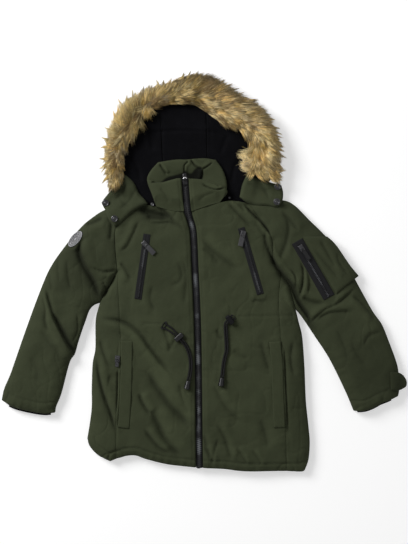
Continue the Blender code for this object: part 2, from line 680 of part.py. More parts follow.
def badge():
    """Round rubber badge on the right sleeve, half rolled over its outer edge."""
    centre, along = np.array([-287.0, 73.0]) * MM, np.array([0.655, 0.756])
    across = np.array([along[1], -along[0]])
    u, v = np.meshgrid(np.linspace(-1, 1, 7), np.linspace(-1, 1, 7))
    disc_u, disc_v = u * np.sqrt(1 - v ** 2 / 2), v * np.sqrt(1 - u ** 2 / 2)
    grid = (centre + (disc_u * 10.5 * MM)[..., None] * across
            + (disc_v * 22.5 * MM)[..., None] * along)
    under = ground_under(["sleeve_right_upper"], 5 * MM, 13.5 * MM)
    patch_solid("badge", grid, raised(under, BADGE_THICK), raised(under, GAP), BADGE)


# ---------------------------------------------------------------- zips

def cutter(obj):
    """Move a tool of a Boolean out of the coat's collection and hide it from renders."""
    for other in list(obj.users_collection):
        other.objects.unlink(obj)
    collection("cutters").objects.link(obj)
    obj.hide_render = True
    obj.display_type = "WIRE"
    return obj


def box(name, size, centre, look, parent=None, bevel=0.0):
    """Box of a size about a centre, in its parent's frame, with rounded edges."""
    working = bmesh.new()
    bmesh.ops.create_cube(working, size=1.0)
    bmesh.ops.scale(working, vec=size, verts=working.verts)
    bmesh.ops.translate(working, vec=centre, verts=working.verts)
    obj = from_bmesh(name, working, look)
    obj.parent = parent
    if bevel:
        rounding = obj.modifiers.new("rounding", "BEVEL")
        rounding.width = bevel
        rounding.segments = 2
    return obj


def rod(name, radius, length, centre, look, parent=None, sides=16):
    """Rod along its parent's Y axis."""
    working = bmesh.new()
    bmesh.ops.create_cone(working, cap_ends=True, segments=sides, radius1=radius, radius2=radius,
                          depth=length)
    bmesh.ops.rotate(working, cent=(0, 0, 0), matrix=Matrix.Rotation(math.pi / 2, 3, "X"),
                     verts=working.verts)
    bmesh.ops.translate(working, vec=centre, verts=working.verts)
    obj = from_bmesh(name, working, look)
    obj.parent = parent
    return obj


def combine(obj, operation, tool):
    """Boolean modifier that leaves its tool among the cutters."""
    step = obj.modifiers.new(operation.lower(), "BOOLEAN")
    step.operation = operation
    step.solver = "EXACT"
    step.object = cutter(tool)


def empty(name, location, heading, parent=None):
    """Empty whose X axis points along a heading in plan."""
    obj = bpy.data.objects.new(name, None)
    collection("hooded_parka").objects.link(obj)
    obj.location = location
    obj.rotation_euler = (0.0, 0.0, math.atan2(heading[1], heading[0]))
    obj.parent = parent
    return obj


def slider_and_pull(name, x, y, foot, rest, heading_x, heading_y, length, width, thick, look):
    """Zip slider with its bar, and the pull tab that turns on the bar.

    The frame's X axis points the way the tab lies, and its Y axis is the bar's axis.
    """
    top = foot * MM + SLIDER[2]
    axis_height = top + BAR_LIFT
    frame = empty(f"frame_{name}", (x * MM, y * MM, 0.0), (heading_x, heading_y))
    body = box(f"slider_{name}", (SLIDER[1], SLIDER[0], SLIDER[2]),
               (-BAR_FORWARD, 0.0, foot * MM + SLIDER[2] / 2), METAL, frame, 0.8 * MM)
    post = EYE_WIDTH / 2 + 0.9 * MM
    for side in (-1, 1):
        combine(body, "UNION", box(
            f"post_{name}_{side + 1}", (2 * BAR_RADIUS, 1.1 * MM, BAR_LIFT + 0.4 * MM),
            (0.0, side * post, top + BAR_LIFT / 2 - 0.2 * MM), METAL, frame))
    combine(body, "UNION", rod(f"bar_{name}", BAR_RADIUS, 2 * post, (0.0, 0.0, axis_height),
                               METAL, frame, 10))

    neck = EYE_RADIUS + 2.5 * MM
    droop = math.asin((axis_height - (rest + thick / 2) * MM - 2 * GAP) / (length * MM))
    hinge = empty(f"hinge_{name}", (0.0, 0.0, axis_height), (1, 0), frame)
    hinge.rotation_euler = (0.0, min(droop, MOST_DROOP), 0.0)
    tab_length = length * MM - neck
    tab = box(f"pull_{name}", (tab_length, width * MM, thick * MM),
              (neck + tab_length / 2, 0.0, 0.0), look, hinge, 0.9 * MM)
    combine(tab, "UNION", box(f"link_{name}", (neck, EYE_WIDTH, 1.8 * MM),
                              (neck / 2 + 0.5 * MM, 0.0, 0.0), look, hinge))
    combine(tab, "UNION", rod(f"eye_{name}", EYE_RADIUS, EYE_WIDTH, (0, 0, 0), look, hinge))
    combine(tab, "DIFFERENCE", rod(f"hole_{name}", EYE_HOLE, 3 * EYE_WIDTH, (0, 0, 0), look,
                                   hinge))


def main_zip():
    """Band and teeth of the long zip, from the collar's top to the hem."""
    spine = join(through(COLLAR_ZIP_ROWS, 8), LINES["zip_line"])
    climb = (118 * MM, 143 * MM)

    def band_under(x, y):
        middle = np.broadcast_to(y.mean(axis=1, keepdims=True), y.shape)
        share = np.clip((middle - climb[0]) / (climb[1] - climb[0]), 0.0, 1.0)
        return BAND_TOP + share * (COLLAR_BAND_TOP - BAND_TOP) - MAIN_BAND_THICK

    def ribbon(name, line, width, low, high, look):
        grid = np.stack([beside(line, width / 2), beside(line, -width / 2)], axis=1)
        return patch_solid(name, grid, raised(band_under, high), raised(band_under, low), look)

    ribbon("zip_main_band", spine, BAND_WIDTH - 5 * GAP, 0.0, MAIN_BAND_THICK, BAND)
    teeth_under = MAIN_BAND_THICK + GAP
    ribbon("zip_main_teeth", spine[2:], TEETH_WIDTH, teeth_under, teeth_under + TEETH_THICK, TEETH)


def pocket_zips():
    """Bands and teeth of the chest and sleeve zips, flat on the coat."""
    low = FULL + GAP
    for name, x0, y0, x1, y1, width0, width1, slider in ZIP_ROWS:
        start, end = np.array([x0, y0]) * MM, np.array([x1, y1]) * MM
        grid = strip_grid(start, end, width0 * MM, width1 * MM)
        patch_solid(f"zip_{name}_band", grid, low + BAND_THICK, low, BAND)
        run = (end - start) / np.linalg.norm(end - start)
        teeth = strip_grid(start + run * (slider + 13) * MM, end - run * 4 * MM, TEETH_WIDTH,
                           TEETH_WIDTH)
        patch_solid(f"zip_{name}_teeth", teeth, low + BAND_THICK + GAP + TEETH_THICK,
                    low + BAND_THICK + GAP, TEETH)


# ---------------------------------------------------------------- snaps and drawcords

def studs():
    """Snaps on the hood's flaps and the two small buttons beside the collar."""
    for name, x, y, radius, height, supports in STUD_ROWS:
        ground = ground_under(supports, radius * MM, 12 * MM)
        base = float(ground(np.array([x * MM]), np.array([y * MM]))[0]) + GAP
        working = bmesh.new()
        bmesh.ops.create_cone(working, cap_ends=True, segments=20, radius1=radius * MM,
                              radius2=radius * 0.86 * MM, depth=height * MM)
        bmesh.ops.translate(working, vec=(0, 0, height * MM / 2), verts=working.verts)
        stud = from_bmesh(name, working, METAL)
        stud.location = (x * MM, y * MM, base)


def drawcords():
    """Waist drawcords: eyelets, two strands a side, cord locks and bell ends."""
    for side, rows in CORD_ROWS.items():
        pair = through(rows, STRAND_STRETCHES * 3)
        route, spread = pair[:, :3], pair[:, 3]
        for label, sign in (("a", 1), ("b", -1)):
            heading = np.gradient(route[:, :2], axis=0)
            heading /= np.linalg.norm(heading, axis=1)[:, None]
            strand = route.copy()
            strand[:, :2] += sign * spread[:, None] * np.column_stack([-heading[:, 1],
                                                                       heading[:, 0]])
            cord_tube(f"drawcord_{side}_{label}", resample(strand, STRAND_STRETCHES))
        eyelet(side, route[0], heading[0], spread[0])
        cord_lock(side)
        bell(side, route[-1], route[-1] - route[-4])


def cord_tube(name, points):
    """One strand: a curve with a round bevel and filled caps."""
    curve = bpy.data.curves.new(name, "CURVE")
    curve.dimensions = "3D"
    curve.bevel_depth = STRAND / 2
    curve.bevel_resolution = 2
    curve.use_fill_caps = True
    spline = curve.splines.new("POLY")
    spline.points.add(len(points) - 1)
    for place_on_curve, point in zip(spline.points, points):
        place_on_curve.co = (*point, 1.0)
    obj = bpy.data.objects.new(name, curve)
    collection("hooded_parka").objects.link(obj)
    place(obj, CORD)


def eyelet(side, centre, heading, spread):
    """Oval ring round the two holes that a pair of strands comes out of."""
    bpy.ops.mesh.primitive_torus_add(
        major_radius=3.4 * MM, minor_radius=0.8 * MM, major_segments=20, minor_segments=6)
    ring = bpy.context.object
    stretch = Matrix.Diagonal((1.0, 1.0 + spread / (3.4 * MM), 1.0, 1.0))
    ring.data.transform(stretch)
    ring.name = f"eyelet_{side}"
    ring.location = (centre[0], centre[1], FULL + GAP + 0.8 * MM)
    ring.rotation_euler = (0.0, 0.0, math.atan2(heading[1], heading[0]))
    place(ring, PLASTIC)


def cord_lock(side):
    """Cord lock: a block with a slot that both strands run through."""
    x, y, z, heading_x, heading_y = TOGGLE_ROWS[side]
    frame = empty(f"frame_toggle_{side}", (x * MM, y * MM, z * MM), (heading_x, heading_y))
    lock = box(f"toggle_{side}", (TOGGLE[1], TOGGLE[0], TOGGLE[2]), (0, 0, 0), PLASTIC, frame,
               2.0 * MM)
    combine(lock, "DIFFERENCE", box(f"slot_{side}", (0.1, TOGGLE_SLOT[0], TOGGLE_SLOT[1]),
                                    (0, 0, 0), PLASTIC, frame))


def bell(side, end, heading):
    """Bell end: a turned cone that the two strands run into."""
    flat = Vector((heading[0], heading[1], 0.0)).normalized()
    rise = (BELL_WIDE - BELL_NARROW) * 0.9
    axis = (flat * BELL_LENGTH + Vector((0, 0, rise))).normalized()
    working = bmesh.new()
    bmesh.ops.create_cone(working, cap_ends=True, segments=20, radius1=BELL_NARROW,
                          radius2=BELL_WIDE, depth=BELL_LENGTH)
    bmesh.ops.translate(working, vec=(0, 0, BELL_LENGTH / 2), verts=working.verts)
    obj = from_bmesh(f"bell_end_{side}", working, PLASTIC)
    obj.rotation_mode = "QUATERNION"
    obj.rotation_quaternion = axis.to_track_quat("Z", "Y")
    obj.location = Vector(end) + axis * 2 * GAP
    rounding = obj.modifiers.new("rounding", "BEVEL")
    rounding.width = 0.8 * MM
    rounding.segments = 1
    rounding.limit_method = "ANGLE"


# ---------------------------------------------------------------- the coat

def build():
    """The whole coat."""
    for obj in list(bpy.data.objects):
        bpy.data.objects.remove(obj, do_unlink=True)
    body_and_sleeves()
    hood()
    collar()
    bpy.context.view_layer.update()
    hood_flaps()
    sleeve_pocket()
    cuff_tab()
    badge()
    welts()
    main_zip()
    pocket_zips()
    for row in PULL_ROWS:
        slider_and_pull(*row)
    bpy.context.view_layer.update()
    studs()
    drawcords()


build()
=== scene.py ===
import json
import math

import bpy
import numpy as np
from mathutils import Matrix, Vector
from mathutils.bvhtree import BVHTree

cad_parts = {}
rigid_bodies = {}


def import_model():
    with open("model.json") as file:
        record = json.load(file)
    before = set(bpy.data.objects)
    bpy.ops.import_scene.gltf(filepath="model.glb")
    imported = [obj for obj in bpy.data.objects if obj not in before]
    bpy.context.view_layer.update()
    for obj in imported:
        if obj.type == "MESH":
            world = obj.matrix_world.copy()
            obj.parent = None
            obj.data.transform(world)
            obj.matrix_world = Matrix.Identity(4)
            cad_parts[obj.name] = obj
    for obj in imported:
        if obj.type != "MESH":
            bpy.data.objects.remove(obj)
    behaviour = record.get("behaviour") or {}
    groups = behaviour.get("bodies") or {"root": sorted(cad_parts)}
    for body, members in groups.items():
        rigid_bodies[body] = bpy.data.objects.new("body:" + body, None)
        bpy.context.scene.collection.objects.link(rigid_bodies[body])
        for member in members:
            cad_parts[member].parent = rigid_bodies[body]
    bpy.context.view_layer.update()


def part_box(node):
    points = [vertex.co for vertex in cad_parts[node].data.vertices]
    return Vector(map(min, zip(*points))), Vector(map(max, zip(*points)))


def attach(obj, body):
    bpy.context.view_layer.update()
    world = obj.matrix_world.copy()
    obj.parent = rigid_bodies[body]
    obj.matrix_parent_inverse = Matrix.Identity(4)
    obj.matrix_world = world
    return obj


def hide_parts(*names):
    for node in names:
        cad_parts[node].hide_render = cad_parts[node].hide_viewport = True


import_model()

# Looks of a child's padded parka that lies flat on its back, zipped up, with a fur-trimmed hood.
# Metres, +Z up, +Y towards the hood, +X towards the wearer's left. Tables are in millimetres.

MM = 0.001
GAP = 0.3 * MM            # between pieces that touch
BACK_TOP = 12.0 * MM      # layers, as heights above the ground
UNDER_SLEEVE_TOP = 10.0 * MM
SHELL_TOP = 10.0 * MM
FULL = 28.0 * MM
LINING_TOP = 16.0 * MM
COLLAR_BACK_TOP = 26.5 * MM
COLLAR_TOP = 38.0 * MM
BAND_TOP = 21.0 * MM
COLLAR_BAND_TOP = 31.0 * MM
BAND_WIDTH = 15.6 * MM
STRAND = 4.0 * MM

# ---- seam lines, as the coat's pattern has them

# Stretches, and the points that the smooth line runs through.
LINE_ROWS = {
    "neck_right": (10, [(-146, 154), (-124, 150), (-106, 146), (-88, 141), (-68, 136), (-43, 135)]),
    "neck_left": (10, [(-26, 135), (0, 144), (22, 151), (43, 156), (65, 159), (102, 154)]),
    "armhole_right": (8, [(-146, 154), (-178, 129), (-196, 98), (-198, 66), (-193, 0)]),
    "underarm_right": (4, [(-193, 0), (-205, -21), (-218, -44), (-233, -71)]),
    "armhole_left": (8, [(102, 154), (139, 102), (156, 69), (158, 21), (176, -6)]),
    "underarm_left": (4, [(176, -6), (191, -24), (199, -50), (209, -86)]),
    "side_right": (10, [(-233, -71), (-242, -109), (-243, -174), (-249, -206), (-251, -260), (-251, -303),
        (-255, -339), (-261, -376)]),
    "corner_right": (4, [(-261, -376), (-256, -393), (-238, -413), (-210, -428)]),
    "side_left": (14, [(209, -86), (216, -114), (224, -148), (229, -215), (232, -289), (238, -348),
        (241, -386), (238, -424), (230, -447)]),
    "princess_right": (14, [(-193, 0), (-187, -107), (-185, -163), (-187, -260), (-191, -334),
        (-195, -368), (-195, -422)]),
    "princess_left": (14, [(176, -6), (170, -64), (175, -154), (180, -205), (182, -264), (186, -366),
        (188, -450)]),
    "hem_side_right": (4, [(-210, -428), (-195, -422)]),
    "hem_right": (10, [(-195, -422), (-169, -415), (-150, -415), (-128, -423), (-78, -435), (-17, -442)]),
    "hem_left": (10, [(0, -443), (49, -445), (94, -450), (188, -450)]),
    "hem_side_left": (4, [(188, -450), (221, -451), (230, -447)]),
    "zip_line": (22, [(-35, 135), (-23, 95), (-20, 56), (-18, 7), (-15, -54), (-12, -132), (-10, -262),
        (-9, -363), (-8, -442)]),
    "sleeve_right_outer": (18, [(-146, 154), (-187, 150), (-224, 138), (-252, 120), (-277, 98), (-313, 55),
        (-346, 6), (-371, -53), (-400, -132), (-425, -204), (-436, -235), (-449, -265), (-454, -289)]),
    "sleeve_right_inner": (18, [(-233, -71), (-246, -76), (-257, -88), (-265, -110), (-273, -132),
        (-283, -163), (-290, -187), (-302, -207), (-320, -275), (-332, -305), (-334, -318)]),
    "cuff_right": (12, [(-454, -289), (-433, -303), (-405, -312), (-361, -320), (-334, -318)]),
    "sleeve_left_outer": (20, [(102, 154), (140, 159), (180, 161), (207, 149), (240, 116), (267, 90),
        (297, 57), (328, 13), (344, -19), (374, -74), (385, -93), (404, -120), (418, -154), (435, -200),
        (441, -226), (443, -262), (440, -280)]),
    "sleeve_left_inner": (20, [(209, -86), (222, -101), (251, -144), (286, -198), (322, -271),
        (340, -314)]),
    "cuff_left": (12, [(440, -280), (418, -291), (400, -298), (384, -307), (363, -314), (340, -314)]),
    "collar_spine": (6, [(-40.5, 208), (-38, 172), (-34.5, 135)]),
}

# How the fronts and upper sleeves roll down: the line, the height left at it, and the reach.
ROLL_ROWS = [
    ("armhole_right", 23.5, 26), ("underarm_right", 18, 26), ("side_right", 14.5, 40),
    ("armhole_left", 24.5, 26), ("underarm_left", 17, 28), ("side_left", 14.5, 40),
    ("corner_right", 15, 34), ("hem_side_right", 17, 26), ("hem_right", 17, 26), ("hem_left", 17, 26),
    ("hem_side_left", 17, 26), ("zip_right", 22.5, 14), ("zip_left", 22.5, 14), ("neck_right", 27.8, 16),
    ("neck_left", 27.8, 16), ("sleeve_right_outer", 13, 38), ("sleeve_right_inner", 13, 32),
    ("cuff_right", 19, 14), ("sleeve_left_outer", 13, 38), ("sleeve_left_inner", 13, 32),
    ("cuff_left", 19, 14),
]

# Hood opening, clockwise from the wearer's right chin: the fur's inner and outer edge.
HOOD_ROWS = np.array([
    # inner x, inner y, outer x, outer y
    (-186, 210, -217, 182), (-181, 233, -223, 224), (-181, 269, -223, 269), (-169, 300, -217, 309),
    (-146, 332, -203, 354), (-122, 361, -173, 395), (-90, 375, -128, 422), (-61, 380, -74, 437),
    (-29, 379, -20, 446), (0, 363, 32, 436), (29, 343, 83, 408), (63, 330, 126, 377),
    (97, 314, 158, 332), (114, 287, 176, 287), (106, 260, 182, 244), (99, 224, 187, 203),
], dtype=float)


def lengths_of(line):
    """Length of each straight stretch of a line."""
    return np.linalg.norm(np.diff(line, axis=0), axis=1)


def passed_at(line):
    """Length passed at each point of a line."""
    return np.concatenate([[0.0], np.cumsum(lengths_of(line))])


def held(share):
    """Share kept from 0 to 1."""
    return np.clip(share, 0.0, 1.0)


def unit(rows):
    """Rows made one long."""
    return rows / np.linalg.norm(rows, axis=1)[:, None]


def to_left(run):
    """Headings in plan, turned a quarter to the left."""
    return np.column_stack([-run[:, 1], run[:, 0]])


def through(rows, stretches):
    """Points of a Catmull-Rom line: each cubic piece passes two rows and leans on the two beyond."""
    knots = np.array(rows, dtype=float) * MM
    padded = np.vstack([2 * knots[0] - knots[1], knots, 2 * knots[-1] - knots[-2]])
    t = np.linspace(0.0, 1.0, 24, endpoint=False)[:, None]
    pieces = [
        0.5 * (2 * b + (c - a) * t + (2 * a - 5 * b + 4 * c - d) * t ** 2
               + (3 * b - a - 3 * c + d) * t ** 3)
        for a, b, c, d in zip(padded, padded[1:], padded[2:], padded[3:])
    ]
    return resample(np.vstack(pieces + [knots[-1:]]), stretches)


def resample(points, stretches):
    """The same line, cut into equal stretches by its length."""
    along = passed_at(points)
    wanted = np.linspace(0.0, along[-1], stretches + 1)
    return np.column_stack([np.interp(wanted, along, column) for column in points.T])


def join(*lines):
    """Lines end to end, with the shared points once."""
    return np.vstack([lines[0]] + [line[1:] for line in lines[1:]])


def headings(line):
    """Unit direction in plan at each point of a line."""
    return unit(np.gradient(line[:, :2], axis=0))


def beside(line, distance):
    """A line moved sideways, to the left of its direction where distance is positive."""
    return line + distance * to_left(headings(line))


def nearest(line, x, y):
    """Distance in plan to a line, signed (left is positive), and the share of its length passed."""
    point = np.stack([x, y], axis=-1)[..., None, :]
    start = line[:-1, :2]
    run = line[1:, :2] - start
    size = (run ** 2).sum(-1)
    share = held(((point - start) * run).sum(-1) / size)
    away = point - (start + share[..., None] * run)
    gap = np.sqrt((away ** 2).sum(-1))
    pick = gap.argmin(-1)[..., None]
    side = np.sign(run[:, 0] * away[..., 1] - run[:, 1] * away[..., 0])
    lengths = np.sqrt(size)
    passed = (np.cumsum(lengths) - lengths + share * lengths) / lengths.sum()
    take = lambda values: np.take_along_axis(values, pick, -1)[..., 0]
    return take(gap) * np.where(take(side) < 0, -1.0, 1.0), take(passed)


LINE = {name: through(rows, stretches * 3) for name, (stretches, rows) in LINE_ROWS.items()}
LINE["zip_right"] = beside(LINE["zip_line"], -BAND_WIDTH / 2)
LINE["zip_left"] = beside(LINE["zip_line"], BAND_WIDTH / 2)


# ---- plans of the panels

def hood_line(share, first, last, stretches):
    """Line between two stations, a share of the way from the fur's inner to its outer edge."""
    rows = HOOD_ROWS[first:last + 1]
    return through(rows[:, :2] + share * (rows[:, 2:] - rows[:, :2]), stretches)


def bridged(one, other, k):
    """Two lines as one, with k straight stretches from the first to the second."""
    share = (np.arange(1, k) / k)[:, None]
    return np.vstack([one, one[-1] + share * (other[0] - one[-1]), other])


def panel_edges(k):
    """Left, right, top and bottom edge of each large panel, k times finer than the pattern's rows."""
    line = {name: through(rows, stretches * k) for name, (stretches, rows) in LINE_ROWS.items()}
    for side, sign in (("right", -1), ("left", 1)):
        edge = beside(line["zip_line"], sign * BAND_WIDTH / 2)
        near = -1 if side == "right" else 0
        edge[0], edge[-1] = line[f"neck_{side}"][near], line[f"hem_{side}"][near]
        line[f"zip_{side}"] = edge
    run = lambda *names: join(*(line[name] for name in names))
    neck = bridged(line["neck_right"], line["neck_left"], k)
    hem = join(line["hem_side_right"], bridged(line["hem_right"], line["hem_left"], k),
               line["hem_side_left"])
    right = run("armhole_right", "underarm_right", "side_right", "corner_right")
    left = run("armhole_left", "underarm_left", "side_left")
    edges = {
        "back_panel": (right, resample(left, len(right) - 1), resample(neck, len(hem) - 1), hem),
        "front_right": (run("armhole_right", "princess_right"), line["zip_right"],
                        line["neck_right"], line["hem_right"]),
        "front_left": (line["zip_left"], run("armhole_left", "princess_left"), line["neck_left"],
                       line["hem_left"]),
        "side_front_right": (run("side_right", "corner_right"), line["princess_right"],
                             line["underarm_right"][::-1], line["hem_side_right"]),
        "side_front_left": (line["princess_left"], line["side_left"], line["underarm_left"],
                            line["hem_side_left"]),
        "hood_shell": (
            bridged(hood_line(0.66, 0, 4, 12 * k)[::-1], neck[:1], k),
            bridged(hood_line(0.66, 11, 15, 12 * k), neck[-1:], k),
            hood_line(0.66, 4, 11, len(neck) - 1), neck),
    }
    for side in ("right", "left"):
        edges[f"sleeve_{side}"] = (
            line[f"sleeve_{side}_outer"], line[f"sleeve_{side}_inner"],
            run(f"armhole_{side}", f"underarm_{side}"), line[f"cuff_{side}"])
    return edges


def settle(grid, rounds):
    """Move inner points by Winslow's rule: a neighbour mean weighted by the cells' own shape."""
    for _ in range(rounds):
        west, east, north, south = grid[1:-1, :-2], grid[1:-1, 2:], grid[:-2, 1:-1], grid[2:, 1:-1]
        along = ((east - west) ** 2).sum(-1, keepdims=True)
        down = ((south - north) ** 2).sum(-1, keepdims=True)
        skew = ((east - west) * (south - north)).sum(-1, keepdims=True)
        twist = (grid[2:, 2:] - grid[2:, :-2] - grid[:-2, 2:] + grid[:-2, :-2]) / 2
        grid[1:-1, 1:-1] = (down * (east + west) + along * (north + south) - skew * twist) \
            / (2 * (along + down))
    return grid


def coons(left, right, top, bottom):
    """Coons patch in plan: two ruled surfaces added, less the flat one through the corners."""
    def shares(one, other):
        one, other = passed_at(one), passed_at(other)
        return (one / one[-1] + other / other[-1]) / 2

    v = shares(left, right)[:, None, None]
    u = shares(top, bottom)[None, :, None]
    ruled = (1 - u) * left[:, None] + u * right[:, None] + (1 - v) * top[None] + v * bottom[None]
    corners = ((1 - u) * (1 - v) * top[0] + u * (1 - v) * top[-1]
               + (1 - u) * v * bottom[0] + u * v * bottom[-1])
    return ruled - corners


def doubled(grid):
    """Grid with a new point halfway between every two."""
    for axis in (0, 1):
        grid = np.moveaxis(grid, axis, 0)
        wide = np.empty((2 * len(grid) - 1,) + grid.shape[1:])
        wide[::2] = grid
        wide[1::2] = (grid[1:] + grid[:-1]) / 2
        grid = np.moveaxis(wide, 0, axis)
    return grid


def crowded(grid, cell, ends=(0.22, 0.34, 0.5, 0.7, 0.88)):
    """Grid cut again into about square cells, with shorter ones towards its borders."""
    for axis in (0, 1):
        grid = np.moveaxis(grid, axis, 0)
        length = lengths_of(grid[:, grid.shape[1] // 2]).sum()
        step = np.ones(max(int(length / cell) + 4, 2 * len(ends) + 2))
        step[:len(ends)] = ends
        step[-len(ends):] = ends[::-1]
        place = np.concatenate([[0.0], np.cumsum(step)])
        place *= (len(grid) - 1) / place[-1]
        low = np.minimum(place.astype(int), len(grid) - 2)
        share = (place - low)[:, None, None]
        grid = np.moveaxis(grid[low] * (1 - share) + grid[low + 1] * share, 0, axis)
    return grid


LEVELS = {k: panel_edges(k) for k in (1, 2, 4)}
LARGE_ROUNDS, FINE_ROUNDS, SMALL_ROUNDS, LINED_ROUNDS = 150, 25, 60, 80   # of settling


def plan(name, cell):
    """Grid of a large panel in plan: coarse, settled, then doubled twice between exact edges."""
    grid = settle(coons(*LEVELS[1][name]), LARGE_ROUNDS)
    for k in (2, 4):
        grid = doubled(grid)
        left, right, top, bottom = LEVELS[k][name]
        grid[:, 0], grid[:, -1], grid[0], grid[-1] = left, right, top, bottom
        grid = settle(grid, FINE_ROUNDS)
    return crowded(grid, cell)


def small_plan(edges, cell):
    """Grid in plan of a small piece, between the rows of its left, right, top and bottom edge."""
    return crowded(settle(coons(*(through(rows, 16) for rows in edges)), SMALL_ROUNDS), cell)


# ---- heights

def smooth(share):
    """Share from 0 to 1, made level at both ends."""
    return share * share * (3 - 2 * share)


def rounding(gap, reach):
    """Quarter ellipse: from 1 at a free edge to 0 at the reach."""
    return 1.0 - np.sqrt(1.0 - (1.0 - held(gap / reach)) ** 2)


def off_ends(passed, reach):
    """From 0 at a line's ends to 1 over a reach, both as shares of its length."""
    return held(np.minimum(passed, 1 - passed) / reach)


def close_by(line, x, y, reach):
    """True in the box round a line, widened by the reach."""
    low, high = line.min(0) - reach, line.max(0) + reach
    return (x > low[0]) & (x < high[0]) & (y > low[1]) & (y < high[1])


def rolled(x, y, full, rolls):
    """Full height, less a quarter ellipse beside each line; the deepest drop wins."""
    drop = np.zeros_like(x)
    for line, low, reach in rolls:
        drop = np.maximum(drop, (full - low) * rounding(np.abs(nearest(line, x, y)[0]), reach))
    return full - drop


NET = 97                  # heights along a side of the net that lumps() repeats


def lumps(x, y, size, seed):
    """Smooth uneven surface from -1 to 1: random heights on a square net, eased in between."""
    table = np.random.default_rng(seed).uniform(-1.0, 1.0, (NET, NET))
    u, v = x / size + 40.0, y / size + 40.0
    i, j = np.floor(u).astype(int), np.floor(v).astype(int)
    f, g = smooth(u - i), smooth(v - j)
    pick = lambda a, b: table[(i + a) % NET, (j + b) % NET]
    return (pick(0, 0) * (1 - f) + pick(1, 0) * f) * (1 - g) \
        + (pick(0, 1) * (1 - f) + pick(1, 1) * f) * g


